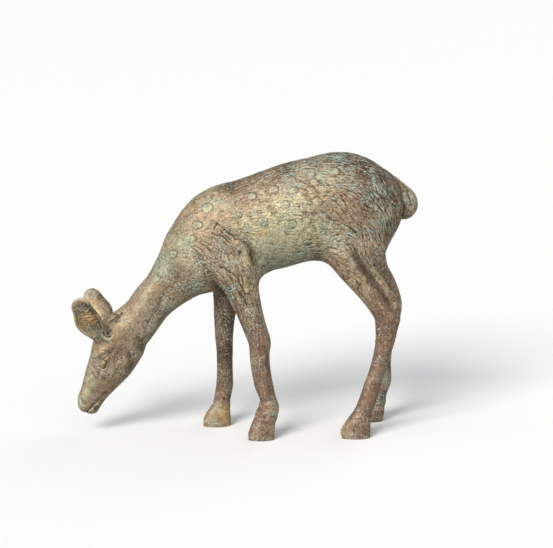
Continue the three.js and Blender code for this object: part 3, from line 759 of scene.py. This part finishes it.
# The lie of the hair: [x, z, direction along x, direction along z, depth of the strokes].
hairLie = [
    [-352, 75, 0.35, 0.94, 0.15],
    [-325, 120, 0.35, 0.94, 0.2],
    [-310, 190, 0.3, 0.95, 0.2],
    [-275, 165, 0.75, 0.66, 0.25],
    [-285, 240, 0.55, 0.83, 0.15],
    [-230, 270, 0.62, 0.78, 0.2],
    [-170, 330, 0.66, 0.75, 0.25],
    [-120, 390, 0.72, 0.6, 0.35],
    [-90, 340, 0.9, 0.3, 0.4],
    [-60, 500, 0.9, 0.42, 0.35],
    [-20, 420, 0.5, -0.85, 0.7],
    [50, 480, 0.98, -0.1, 0.5],
    [50, 560, 0.97, 0.22, 0.7],
    [110, 430, 0.98, 0.02, 0.7],
    [150, 510, 0.9, -0.4, 0.9],
    [160, 592, 0.98, 0.1, 0.9],
    [175, 440, 0.94, 0.05, 0.9],
    [240, 590, 0.88, -0.35, 1.0],
    [300, 565, 0.72, -0.68, 1.0],
    [230, 500, 0.74, -0.66, 1.0],
    [290, 480, 0.5, -0.86, 1.0],
    [250, 420, 0.58, -0.8, 1.0],
    [300, 340, 0.5, -0.85, 0.4],
    [312, 260, -0.1, -1.0, 0.15],
    [290, 150, -0.25, -0.97, 0.15],
    [-20, 360, 0.35, -0.93, 0.5],
    [10, 280, 0.2, -0.98, 0.25],
    [32, 180, 0.05, -1.0, 0.15],
    [45, 90, 0.1, -1.0, 0.15],
    [-46, 230, 0.0, -1.0, 0.15],
    [-48, 110, 0.0, -1.0, 0.15],
    [345, 525, 0.5, -0.86, 0.9],
]
hairWander = 0.35  # how far the hair turns from its lie over the rump, in radians
hairBlend = 300  # how softly one row of the lie passes into the next, in square millimetres
hairless = {"below": 46, "fade": 12}  # the hair ends at the hooves


def hairAt(points, normals):
    lie = np.array(hairLie)
    apart = ((points[:, None, [0, 2]] - lie[None, :, :2]) ** 2).sum(2)
    weight = 1 / (apart + hairBlend) ** 2
    weight /= weight.sum(1, keepdims=True)
    flow = weight @ lie[:, 2:4]
    depth = weight @ lie[:, 4]
    x, y, z = points.T
    turn = np.sin(x / 13 + z / 31 + y / 25) + np.sin(z / 17 - x / 29)
    turn *= hairWander * np.clip(depth - 0.3, 0, 1)
    flow = np.stack([
        flow[:, 0] * np.cos(turn) - flow[:, 1] * np.sin(turn),
        np.zeros(len(points)),
        flow[:, 0] * np.sin(turn) + flow[:, 1] * np.cos(turn),
    ], 1)
    flow -= normals * (flow * normals).sum(1, keepdims=True)
    depth *= np.clip((z - hairless["below"]) / hairless["fade"], 0, 1)
    for one in ears:
        places = earPlaces(one, points)
        depth *= 1 - 0.8 * (onEar(one, places) & (places[0] > 0.1))
    return unit(flow), depth


# The points shifted a little by slow waves, so that a stroke laid on them wanders.
def strayed(points):
    x, y, z = points.T / wander["size"]
    along = np.sin(1.3 * z + 0.6 * y) + np.sin(2.7 * x - 1.1 * z)
    upward = np.sin(1.2 * x + 0.5 * y) + np.sin(2.3 * z + x)
    return points + wander["reach"] * np.stack([along, 0 * y, upward], 1)


def carve(piece):
    points = readPoints(piece.data)
    normals = readNormals(piece.data)
    lift = stroked(strayed(points), fineStrokes, layPaths(fineStrokes))
    carved = lift / 1.6
    lift += earRelief(points, normals) + hoofRelief(points, normals)
    writePoints(piece.data, points + normals * lift[:, None])
    flow, depth = hairAt(points, normals)
    addAttribute(piece.data, "hair", flow)
    addAttribute(piece.data, "hairDepth", depth)
    addAttribute(piece.data, "carved", np.clip(carved, -1, 1))


carve(fawn)
print("stage: carving")

# ---- the hide: spots and hair, laid over the surface by geometry nodes

hide = {
    "Hair Depth": 0.9 * mm,
    "Hair Width": 4.4 * mm,
    "Hair Length": 17 * mm,
    "Spot Height": 0.6 * mm,
    "Ring Depth": 1.6 * mm,
    "Ring Width": 1.0 * mm,
}
hideSeed = 7

# The young coat's spots on the left side: [x, z, radius]. The right side has the same rows, a little shifted.
spots = [
    [-195, 356, 9], [-158, 413, 10], [-116, 448, 9],
    [-105, 478, 10], [-83, 514, 12], [-18, 500, 8],
    [13, 541, 10], [59, 555, 10], [101, 555, 8], [150, 531, 11],
    [35, 487, 11], [94, 482, 11], [82, 525, 9], [188, 592, 11], [139, 585, 8],
]
rightShift = [9, -7]
spotShape = {
    "flattening": (0.88, 1.0, 1.14),  # the spots are wider along the body than they are high
    "edge": (-1.6 * mm, 0.2 * mm),  # where the rounded edge starts and ends, outward from the radius
    # the ring's painted shadow in the colour is also darkest on this upper rear side
    "deepSide": (0.75, 0.0, 0.66),  # the side of the spot on which its ring is deepest
}


def addNode(tree, kind, settings=None, **inputs):
    node = tree.nodes.new(kind)
    for name, value in (settings or {}).items():
        setattr(node, name, value)
    for name, value in inputs.items():
        setInput(tree, node, name.replace("_", " "), value)
    return node


def setInput(tree, node, name, value):
    socket = node.inputs[name]
    if isinstance(value, bpy.types.NodeSocket):
        tree.links.new(value, socket)
    else:
        socket.default_value = value


# The answer of a Math node.
def calc(tree, operation, *values, clamp=False):
    node = tree.nodes.new("ShaderNodeMath")
    node.operation = operation
    node.use_clamp = clamp
    for i, value in enumerate(values):
        setInput(tree, node, i, value)
    return node.outputs[0]


def plus(tree, a, b):
    return calc(tree, "ADD", a, b)


def minus(tree, a, b):
    return calc(tree, "SUBTRACT", a, b)


def times(tree, first, *others):
    for other in others:
        first = calc(tree, "MULTIPLY", first, other)
    return first


# The sum of some values, each times its weight.
def weighed(tree, *pairs):
    total = None
    for value, weight in pairs:
        part = times(tree, value, weight)
        total = part if total is None else plus(tree, total, part)
    return total


# The answer of a Vector Math node.
def vectorCalc(tree, operation, *values):
    node = tree.nodes.new("ShaderNodeVectorMath")
    node.operation = operation
    for i, value in enumerate(values):
        setInput(tree, node, "Scale" if operation == "SCALE" and i == 1 else i, value)
    return node.outputs["Value" if operation in ("LENGTH", "DOT_PRODUCT") else "Vector"]


def rampUp(tree, value, low, high):
    node = addNode(tree, "ShaderNodeMapRange", {"interpolation_type": "SMOOTHSTEP"})
    for name, given in (("Value", value), ("From Min", low), ("From Max", high)):
        setInput(tree, node, name, given)
    return node.outputs["Result"]


# Noise averaged along the hair, so that its streaks lie with the hair. It swings about zero.
def combedNoise(tree, place, hair, width, length, seed, taps=7):
    total = None
    frequency = calc(tree, "DIVIDE", 1.0, width)
    for tap in range(taps):
        step = times(tree, length, tap / (taps - 1) - 0.5)
        moved = vectorCalc(tree, "ADD", place, vectorCalc(tree, "SCALE", hair, step))
        noise = addNode(tree, "ShaderNodeTexNoise", {"noise_dimensions": "4D"},
                        Vector=moved, Scale=frequency, Detail=0.0, W=seed)
        value = minus(tree, noise.outputs[0], 0.5)
        total = value if total is None else plus(tree, total, value)
    return times(tree, total, 9.0 / taps)


def namedValue(tree, name, kind="FLOAT"):
    node = addNode(tree, "GeometryNodeInputNamedAttribute", {"data_type": kind})
    node.inputs["Name"].default_value = name
    return node.outputs["Attribute"]


def keepValue(tree, geometry, name, value):
    node = addNode(tree, "GeometryNodeStoreNamedAttribute", {"data_type": "FLOAT", "domain": "POINT"},
                   Geometry=geometry, Name=name, Value=value)
    return node.outputs["Geometry"]


def sampledSpot(tree, geometry, index, value, kind):
    return addNode(tree, "GeometryNodeSampleIndex", {"data_type": kind, "domain": "POINT"},
                   Geometry=geometry, Value=value, Index=index).outputs["Value"]


# How far inside its nearest spot's uneven edge each point is, and how deep it is in the ring round the spot.
def spotShares(tree, place, given):
    middles = addNode(tree, "GeometryNodeObjectInfo", Object=given["Spots"]).outputs["Geometry"]
    nearest = addNode(tree, "GeometryNodeSampleNearest", {"domain": "POINT"},
                      Geometry=middles, Sample_Position=place).outputs[0]
    centre = sampledSpot(tree, middles, nearest, place, "FLOAT_VECTOR")
    radius = sampledSpot(tree, middles, nearest, namedValue(tree, "radius"), "FLOAT")
    wobble = addNode(tree, "ShaderNodeTexNoise", {"noise_dimensions": "4D"},
                     Vector=place, Scale=90.0, Detail=1.0, W=given["Seed"]).outputs[0]
    fromCentre = vectorCalc(tree, "SUBTRACT", place, centre)
    flattened = vectorCalc(tree, "MULTIPLY", fromCentre, spotShape["flattening"])
    distance = times(tree, vectorCalc(tree, "LENGTH", flattened), plus(tree, 0.6, times(tree, wobble, 0.8)))
    pastEdge = minus(tree, distance, radius)
    inSpot = minus(tree, 1.0, rampUp(tree, pastEdge, *spotShape["edge"]))
    ringShare = calc(tree, "DIVIDE", pastEdge, given["Ring Width"])
    ring = calc(tree, "EXPONENT", times(tree, ringShare, ringShare, -1.0))
    upward = vectorCalc(tree, "DOT_PRODUCT", vectorCalc(tree, "NORMALIZE", fromCentre), spotShape["deepSide"])
    return inSpot, times(tree, ring, plus(tree, 0.5, times(tree, upward, 0.5)))


# The hair: soft locks with sharper gouges between them.
def hairLocks(tree, place, given):
    hair = namedValue(tree, "hair", "FLOAT_VECTOR")
    streak = combedNoise(tree, place, hair, given["Hair Width"], given["Hair Length"], given["Seed"])
    gouge = rampUp(tree, times(tree, streak, -1.0), 0.15, 1.1)
    lock = minus(tree, times(tree, streak, 0.4), times(tree, gouge, 0.8))
    return times(tree, lock, namedValue(tree, "hairDepth"))


def buildHideTree():
    tree = bpy.data.node_groups.new("fawn hide", "GeometryNodeTree")
    face = tree.interface
    face.new_socket("Geometry", in_out="INPUT", socket_type="NodeSocketGeometry")
    face.new_socket("Spots", in_out="INPUT", socket_type="NodeSocketObject")
    for name in (*hide, "Seed"):
        face.new_socket(name, in_out="INPUT", socket_type="NodeSocketFloat")
    face.new_socket("Material", in_out="INPUT", socket_type="NodeSocketMaterial")
    face.new_socket("Geometry", in_out="OUTPUT", socket_type="NodeSocketGeometry")
    given = tree.nodes.new("NodeGroupInput").outputs
    place = tree.nodes.new("GeometryNodeInputPosition").outputs[0]
    normal = tree.nodes.new("GeometryNodeInputNormal").outputs[0]
    inSpot, ring = spotShares(tree, place, given)
    lock = times(tree, hairLocks(tree, place, given), minus(tree, 1.0, times(tree, inSpot, 0.85)))

    lift = plus(tree, times(tree, lock, given["Hair Depth"]), times(tree, inSpot, given["Spot Height"]))
    lift = minus(tree, lift, times(tree, ring, given["Ring Depth"]))
    made = addNode(tree, "GeometryNodeSetPosition", Geometry=given["Geometry"],
                   Offset=vectorCalc(tree, "SCALE", normal, lift)).outputs["Geometry"]
    made = keepValue(tree, made, "spot", inSpot)
    made = keepValue(tree, made, "ring", ring)
    made = addNode(tree, "GeometryNodeRealizeInstances", Geometry=made).outputs["Geometry"]
    made = addNode(tree, "GeometryNodeSetMaterial", Geometry=made, Material=given["Material"])
    setInput(tree, tree.nodes.new("NodeGroupOutput"), "Geometry", made.outputs["Geometry"])
    return tree


# The spots' middles as loose points on the body, each with its radius.
def placeSpots():
    places = [[x, left * besideBody, z] for x, z, radius in spots]
    places += [[x + rightShift[0], right * besideBody, z + rightShift[1]] for x, z, radius in spots]
    mesh = bpy.data.meshes.new("spot middles")
    mesh.from_pydata([tuple(place) for place in onSide(np.array(places, float)) * mm], [], [])
    addAttribute(mesh, "radius", np.array([one[2] for one in spots] * 2) * mm)
    middles = bpy.data.objects.new("spot middles", mesh)
    bpy.context.collection.objects.link(middles)
    return middles


def layHide(piece, material):
    middles = placeSpots()
    modifier = piece.modifiers.new("hide", "NODES")
    modifier.node_group = buildHideTree()
    values = {**hide, "Spots": middles, "Seed": hideSeed, "Material": material}
    for item in modifier.node_group.interface.items_tree:
        if item.in_out == "INPUT" and item.name in values:
            value = values[item.name]
            modifier[item.identifier] = float(value) if isinstance(value, (int, float)) else value
    applyModifiers(piece)
    bpy.data.objects.remove(middles)


# Fewer triangles where the surface is plain, and soles that stay flat on the ground.
def thin(piece):
    detail = piece.vertex_groups.new(name="detail")
    detail.add(np.flatnonzero(outsideDetails(readPoints(piece.data)) <= 0).tolist(), 1.0, "REPLACE")
    spare = piece.modifiers.new("thin", "DECIMATE")
    spare.vertex_group = "detail"
    spare.invert_vertex_group = True
    faces = sum(len(face.vertices) - 2 for face in piece.data.polygons)
    spare.ratio = min(1, casting["triangles"] / faces)
    spare.use_collapse_triangulate = True
    applyModifiers(piece)
    points = readPoints(piece.data)
    points[:, 2] = np.maximum(points[:, 2], 0)
    writePoints(piece.data, points)
    piece.data.polygons.foreach_set("use_smooth", [True] * len(piece.data.polygons))
    piece.data.update()


# ---- the patina, with painted shade and a painted highlight

# Where each tone lies, in the side view: [x, z, how far it reaches, strength]. Most are patina; the dark
# brown tone also carries painted shade, and the golden tone a painted highlight.
tones = {
    # Dark brown patina over the back, the croup and the rump, and painted shade on the throat, along the jaw,
    # behind the cheek, in the nape groove, under the belly, beside the tail and down the far legs.
    "umberAndShade": [
        [205, 632, 45, 1.0], [260, 612, 50, 1.0], [296, 585, 46, 1.0], [304, 545, 30, 0.9],
        [275, 545, 50, 0.7], [318, 470, 36, 0.6], [150, 618, 30, 0.6], [85, 597, 38, 0.7],
        [20, 590, 32, 0.6], [-40, 566, 36, 0.7], [-258, 190, 6, 0.5], [-256, 180, 6, 0.5],
        [-258, 170, 6, 0.4], [-218, 235, 30, 0.5], [-228, 218, 20, 0.65], [-178, 283, 28, 0.45],
        [-128, 322, 26, 0.35], [-92, 350, 26, 0.3], [-46, 320, 40, 0.6], [-40, 250, 50, 0.7],
        [-40, 170, 50, 0.7], [-46, 100, 30, 0.5], [-62, 64, 6, 1.0], [-50, 66, 6, 1.0], [-36, 68, 6, 1.0],
        [322, 130, 26, 0.6], [318, 60, 24, 0.6], [150, 402, 26, 0.6], [110, 388, 26, 0.3],
        [318, 520, 18, 0.9], [-25, 455, 14, 0.3], [240, 412, 40, 0.4], [300, 250, 40, 0.3],
        [262, 470, 40, 0.35], [-283, 271, 6, 0.7], [-293, 260, 5, 0.7], [-336, 62, 8, 0.6],
        [-325, 78, 9, 0.55], [-312, 95, 9, 0.55], [-298, 112, 10, 0.55], [-285, 124, 10, 0.55],
        [-271, 138, 11, 0.6], [-258, 154, 12, 0.65], [-251, 170, 13, 0.65], [-245, 186, 14, 0.6],
        [-236, 204, 18, 0.55],
    ],
    "khaki": [
        [40, 460, 60, 1.0], [110, 462, 60, 0.85], [90, 520, 50, 0.8], [150, 450, 50, 0.7],
        [0, 500, 40, 0.5], [60, 420, 50, 0.9], [120, 420, 40, 0.7], [-5, 400, 35, 0.4], [30, 330, 14, 0.9],
        [44, 270, 13, 1.0], [53, 205, 12, 1.0], [60, 140, 12, 0.9], [74, 62, 13, 0.8], [-342, 124, 16, 0.8],
        [-352, 98, 12, 0.7], [-298, 144, 14, 0.45], [-46, 30, 20, 0.6], [52, 20, 12, 0.6],
    ],
    "rose": [
        [-10, 545, 45, 0.7], [60, 572, 35, 0.7], [230, 560, 50, 0.7], [240, 480, 50, 0.4],
        [290, 440, 50, 0.5], [0, 300, 30, 0.9], [6, 255, 32, 1.3], [14, 210, 32, 1.5], [20, 160, 34, 1.5],
        [26, 110, 34, 1.5], [28, 66, 32, 1.5], [20, 24, 32, 1.4], [-50, 30, 26, 0.5], [306, 290, 40, 1.3],
        [306, 240, 40, 1.6], [298, 190, 40, 1.7], [284, 140, 40, 1.7], [270, 90, 40, 1.7],
        [262, 40, 46, 1.7], [-46, 290, 56, 1.6], [-46, 200, 60, 1.7], [-48, 120, 56, 1.6],
        [-342, 84, 16, 0.4], [-100, 500, 36, 0.4], [-284, 184, 24, 0.65], [-336, 98, 12, 0.6],
        [-60, 440, 40, 0.4], [-350, 300, 30, 0.3], [-150, 350, 30, 0.4], [-318, 296, 14, 0.7],
        [-326, 150, 5, 0.8], [-331, 139, 5, 0.8], [-338, 130, 5, 0.8], [-346, 122, 5, 0.7],
    ],
    # Golden bronze in the ears, on the hooves, at the eyes and in a few flecks, and a painted highlight line
    # down the front of the near hind cannon (the four small patches from x 286 to 252).
    "goldAndHighlight": [
        [-348, 268, 24, 1.0], [-336, 236, 14, 0.5], [33, 463, 12, 0.5], [140, 408, 12, 0.6],
        [-315, 167, 5, 0.6], [-46, 30, 20, 0.8], [50, 24, 10, 0.6], [-12, 360, 20, 0.4], [286, 228, 3, 0.9],
        [280, 204, 3, 0.9], [266, 166, 3, 0.9], [252, 136, 3, 0.9],
    ],
    "damp": [
        [-210, 255, 26, 0.7], [-168, 300, 30, 0.9], [-120, 350, 36, 1.0], [-150, 380, 34, 0.7],
        [-100, 410, 34, 0.8], [-46, 320, 34, 0.8], [-40, 220, 40, 0.5], [-40, 140, 40, 0.5],
        [0, 300, 26, 0.6], [4, 232, 18, 0.9], [14, 180, 16, 0.8], [24, 130, 16, 0.8], [56, 100, 7, 1.4],
        [60, 64, 7, 1.4], [-76, 6, 8, 1.6], [-10, 4, 8, 1.6], [20, 3, 8, 1.4], [236, 6, 9, 1.8],
        [258, 3, 9, 1.6], [280, 4, 9, 1.6], [-330, 190, 7, 1.3], [-374, 70, 10, 1.5], [-357, 300, 8, 1.6],
        [-352, 276, 8, 1.5], [-317, 152, 4, 2.0], [-304, 220, 5, 2.2], [-297, 221, 5, 2.2],
        [-311, 225, 4, 2.0], [200, 590, 50, 1.0], [260, 560, 50, 0.8], [140, 585, 40, 0.8],
        [290, 500, 46, 0.9], [250, 440, 40, 0.9], [330, 440, 30, 0.7], [200, 450, 40, 0.8],
        [70, 570, 40, 0.6], [-60, 440, 34, 0.7], [-20, 400, 30, 0.6], [322, 165, 26, 1.0],
        [318, 105, 26, 1.0], [312, 50, 24, 1.0], [285, 160, 30, 0.5], [-335, 235, 18, 0.9],
        [-338, 178, 12, 0.8], [-372, 70, 14, 0.9], [-350, 56, 8, 0.9], [-300, 222, 9, 1.0],
        [346, 520, 22, 0.8], [100, 395, 60, 0.6], [-355, 300, 20, 0.6],
    ],
    "smooth": [
        [-312, 168, 40, 1.0], [-335, 100, 44, 1.0], [-285, 215, 40, 0.9], [-240, 300, 44, 0.9],
        [-185, 370, 44, 0.8], [-130, 440, 40, 0.5], [-335, 280, 30, 0.5], [60, 450, 44, 0.4],
        [-60, 20, 46, 0.9], [25, 16, 46, 0.9], [250, 16, 46, 0.9], [-46, 240, 60, 0.8], [-46, 140, 60, 0.9],
        [15, 220, 50, 0.9], [35, 120, 60, 0.9], [300, 260, 56, 0.8], [295, 180, 56, 1.0],
        [275, 90, 56, 1.0],
    ],
    "sage": [
        [-180, 385, 40, 0.8], [-140, 440, 40, 0.6], [-220, 310, 35, 0.5], [60, 395, 40, 0.8],
        [130, 405, 40, 0.7], [150, 590, 40, 0.5], [-20, 350, 35, 0.5], [-338, 182, 14, 0.6],
        [-372, 78, 14, 0.9], [-90, 345, 30, 0.6], [-340, 240, 25, 0.7], [322, 165, 22, 0.5],
        [318, 105, 22, 0.5], [312, 50, 20, 0.5], [270, 395, 40, 0.4], [-66, 330, 20, 0.6],
        [340, 525, 24, 0.5], [-110, 400, 40, 0.5], [-80, 525, 30, 0.5],
    ],
}

patina = {
    "tan": (0.365, 0.268, 0.178),
    # dark brown, for the patina on the back and for painted shade
    "umberAndShade": (0.082, 0.054, 0.037),
    "khaki": (0.56, 0.53, 0.36),
    "rose": (0.25, 0.15, 0.105),
    "sage": (0.35, 0.37, 0.28),
    # golden bronze, also used for a painted highlight
    "goldAndHighlight": (0.52, 0.33, 0.14),
    "disc": (0.35, 0.385, 0.29),
    "shade": (0.42, 0.36, 0.25),  # what the mottling multiplies the colour by where it is darkest
    "gleam": (1.42, 1.42, 1.36),  # and where it is lightest
    # near black: painted shade in folds, hollows and spot rings, and patina in the cuts and between the locks
    # of hair
    "creviceAndShade": (0.035, 0.024, 0.014),
    "verdigris": (0.42, 0.56, 0.49),
    "rubbed": (0.62, 0.48, 0.29),
    "chalk": (0.62, 0.76, 0.71),
}

# How the finish is laid over those colours.
finish = {
    "calm": 0.65,  # how much quieter the finish is on smooth skin
    "streak": (2.6 * mm, 7 * mm),  # the width and length of the streaks along the hair
    "speck": (2.5 * mm, 5 * mm),  # and of the specks of verdigris
    "disc": 0.65,  # how strongly each mark shows, from 0 to 1
    "gouge": 0.5,
    "raised": 0.3,
    "creviceAndShade": 0.85,
    "verdigris": 0.75,
    "chalk": 1.0,
    "rubbed": 0.6,
    "metallic": 0.5,
    "roughness": 0.42,
    "bump": 1.3 * mm,
}


# How much of a tone each point takes from its patches.
def toneAt(points, patches):
    weight = np.zeros(len(points))
    for x, z, reach, strength in patches:
        apart = ((points[:, 0] - x) ** 2 + (points[:, 2] - z) ** 2) / reach**2
        weight = np.maximum(weight, strength * np.exp(-apart))
    return weight


# Painted shade: the dark rim along the edge of each ear that is nearer the neck, on the side turned from the
# light. It goes into the dark brown tone.
def earShade(points):
    shade = np.zeros(len(points))
    for one in ears:
        share, v, w, half, beyond, outward = earPlaces(one, points)
        flat = (np.abs(w) < one["thick"]) & (beyond < 6)
        inward = half + v * np.sign(one["root"][1])
        rim = np.clip((12 - inward) / 5, 0, 1) * np.clip(6 * (share - 0.05), 0, 1)
        shade = np.maximum(shade, 1.5 * flat * rim)
    return shade


# The mesh's points averaged with their neighbours, some rounds over.
def averaged(points, edges, rounds):
    count = np.bincount(edges.ravel(), minlength=len(points))[:, None]
    for _ in range(rounds):
        total = np.stack([
            np.bincount(edges[:, 0], points[edges[:, 1], axis], len(points))
            + np.bincount(edges[:, 1], points[edges[:, 0], axis], len(points))
            for axis in range(points.shape[1])
        ], 1)
        points = 0.5 * points + 0.5 * total / count
    return points


# How hollow the surface is at a small and a large scale, and where each tone lies.
def addMasks(piece):
    mesh = piece.data
    points = readPoints(mesh)
    normals = readNormals(mesh)
    edges = np.empty(len(mesh.edges) * 2, int)
    mesh.edges.foreach_get("vertices", edges)
    edges = edges.reshape(-1, 2)
    # hollow and deep set where shade is painted into the colour of the creases
    for name, rounds, scale in (("hollow", 3, 0.25), ("deep", 40, 1.6)):
        sunk = ((averaged(points, edges, rounds) - points) * normals).sum(1)
        addAttribute(mesh, name, np.clip(sunk / scale, -1, 1))
    for name, patches in tones.items():
        weight = toneAt(points, patches)
        # the painted shade of the ear rims joins the dark brown tone
        if name == "umberAndShade":
            weight = np.maximum(weight, earShade(points))
        addAttribute(mesh, name, weight)


def attributeValue(tree, name, vector=False):
    node = addNode(tree, "ShaderNodeAttribute")
    node.attribute_name = name
    return node.outputs["Vector" if vector else "Fac"]


def noiseAt(tree, place, scale, detail=3.0, roughness=0.55):
    return addNode(tree, "ShaderNodeTexNoise", {}, Vector=place, Scale=scale, Detail=detail,
                   Roughness=roughness).outputs[0]


def blend(tree, factor, a, b, mode="MIX"):
    node = addNode(tree, "ShaderNodeMix", {"data_type": "RGBA", "blend_type": mode})
    setInput(tree, node, 0, factor)
    setInput(tree, node, 6, a if isinstance(a, bpy.types.NodeSocket) else (*a, 1))
    setInput(tree, node, 7, b if isinstance(b, bpy.types.NodeSocket) else (*b, 1))
    return node.outputs[2]


# What the finish goes by: the place, noise of several sizes, and the marks kept on the mesh.
def readMarks(tree):
    place = addNode(tree, "ShaderNodeTexCoord").outputs["Object"]
    names = ("hairDepth", "spot", "ring", "carved", "hollow", "deep", *tones)
    marks = {name: attributeValue(tree, name) for name in names}
    marks["hair"] = attributeValue(tree, "hair", vector=True)
    marks["place"] = place
    marks["broad"] = noiseAt(tree, place, 16.0, 4.0)
    marks["middling"] = noiseAt(tree, place, 70.0, 4.0)
    marks["grain"] = noiseAt(tree, place, 210.0, 2.0, 0.6)
    marks["streak"] = combedNoise(tree, place, marks["hair"], *finish["streak"], 3.0, taps=5)
    gouged = rampUp(tree, times(tree, marks["streak"], -1.0), 0.25, 1.1)
    marks["gouged"] = times(tree, gouged, marks["hairDepth"])
    marks["rugged"] = minus(tree, 1.0, times(tree, marks["smooth"], finish["calm"]))
    return marks


# The tones, each with an uneven edge, and the paler discs of the spots.
def tonedColour(tree, marks):
    uneven = minus(tree, weighed(tree, (marks["broad"], 0.7), (marks["middling"], 1.2)), 0.95)
    uneven = times(tree, uneven, calc(tree, "POWER", marks["rugged"], 0.6))
    colour = patina["tan"]
    for name in ("khaki", "sage", "rose", "umberAndShade", "goldAndHighlight"):
        share = rampUp(tree, plus(tree, marks[name], uneven), 0.12, 0.85)
        colour = blend(tree, share, colour, patina[name])
    return blend(tree, times(tree, marks["spot"], finish["disc"]), colour, patina["disc"])


# Light and dark mottling, then the hair.
def mottledColour(tree, marks, colour):
    mottle = minus(tree, weighed(tree, (marks["middling"], 1.3), (marks["grain"], 2.2)), 1.75)
    mottle = calc(tree, "ADD", times(tree, mottle, marks["rugged"]), 0.5, clamp=True)
    colour = blend(tree, 1.0, colour, blend(tree, mottle, patina["shade"], patina["gleam"]), "MULTIPLY")
    # the gouges between the locks take the same near black, part patina and part painted shade
    colour = blend(tree, times(tree, marks["gouged"], finish["gouge"]), colour, patina["creviceAndShade"])
    raised = times(tree, rampUp(tree, marks["streak"], 0.4, 1.3), finish["raised"])
    return blend(tree, raised, colour, patina["rubbed"])


# How dark each crease is: painted shade in the broad folds of the body, in the small hollows and in the rings
# of the spots, darkest on their upper rear side, and dark patina held in the carving.
def creaseAndShadeShare(tree, marks):
    folds = times(tree, rampUp(tree, marks["deep"], 0.15, 1.0), 0.75)
    folds = calc(tree, "MAXIMUM", folds, times(tree, marks["ring"], 0.95))
    folds = calc(tree, "MAXIMUM", folds, times(tree, rampUp(tree, marks["hollow"], 0.2, 0.9), 0.85))
    folds = times(tree, folds, minus(tree, 1.0, marks["goldAndHighlight"]), marks["rugged"])
    cuts = times(tree, rampUp(tree, times(tree, marks["carved"], -1.0), 0.1, 0.8), 0.8)
    return calc(tree, "MAXIMUM", folds, cuts)


# Verdigris: fine powdery specks over most of the body, thicker where water stays.
def verdigrisShare(tree, marks, crease):
    width, length = finish["speck"]
    drawn = times(tree, marks["hairDepth"], length)
    speck = combedNoise(tree, marks["place"], marks["hair"], width, drawn, 9.0, taps=3)
    speck = plus(tree, times(tree, speck, 0.2), 0.5)
    cloud = noiseAt(tree, marks["place"], 26.0, 2.0)
    powder = minus(tree, noiseAt(tree, marks["place"], 620.0, 2.0), 0.5)
    held = weighed(tree, (marks["gouged"], 0.4), (marks["damp"], 0.4), (marks["smooth"], -0.3))
    wet = plus(tree, held, weighed(tree, (speck, 2.2), (cloud, 1.4), (powder, 1.6)))
    return times(tree, rampUp(tree, wet, 2.1, 2.6), minus(tree, 1.0, crease))


# Flecks of chalky green in loose patches.
def chalkShare(tree, marks):
    cells = addNode(tree, "ShaderNodeTexVoronoi", {}, Vector=marks["place"], Scale=190.0)
    fleck = minus(tree, 1.0, rampUp(tree, cells.outputs["Distance"], 0.16, 0.26))
    return times(tree, fleck, rampUp(tree, noiseAt(tree, marks["place"], 34.0), 0.56, 0.66))


# High places rubbed back to the metal.
def rubbedShare(tree, marks):
    high = rampUp(tree, minus(tree, times(tree, marks["carved"], 0.7), marks["hollow"]), 0.25, 0.9)
    high = times(tree, high, rampUp(tree, marks["middling"], 0.4, 0.65))
    return times(tree, high, calc(tree, "POWER", marks["rugged"], 1.5))


def buildBronze():
    material = bpy.data.materials.new("patinated bronze")
    material.use_nodes = True
    tree = material.node_tree
    shader = tree.nodes["Principled BSDF"]
    marks = readMarks(tree)
    # crease holds the painted shade of the folds, hollows and spot rings and the dark patina of the cuts
    crease = creaseAndShadeShare(tree, marks)
    green = verdigrisShare(tree, marks, crease)
    chalk = chalkShare(tree, marks)
    colour = mottledColour(tree, marks, tonedColour(tree, marks))
    layers = {"creviceAndShade": crease, "verdigris": green, "chalk": chalk, "rubbed": rubbedShare(tree, marks)}
    for name, share in layers.items():
        colour = blend(tree, times(tree, share, finish[name]), colour, patina[name])
    setInput(tree, shader, "Base Color", colour)

    covered = calc(tree, "MAXIMUM", green, chalk)
    setInput(tree, shader, "Metallic", times(tree, minus(tree, 1.0, covered), finish["metallic"]))
    rough = weighed(tree, (marks["grain"], 0.3), (green, 0.25))
    setInput(tree, shader, "Roughness", plus(tree, rough, finish["roughness"]))
    combed = times(tree, marks["streak"], marks["hairDepth"])
    height = weighed(tree, (combed, 0.35), (marks["grain"], 1.1), (marks["middling"], 0.9))
    height = times(tree, height, marks["rugged"])
    bump = addNode(tree, "ShaderNodeBump", {}, Strength=1.0, Distance=finish["bump"], Height=height)
    setInput(tree, shader, "Normal", bump.outputs[0])
    return material


layHide(fawn, buildBronze())
print("stage: hide,", len(fawn.data.vertices), "points")
thin(fawn)
addMasks(fawn)
print("stage: thinned to", len(fawn.data.polygons), "triangles")

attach(fawn, "root")
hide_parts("fawn")
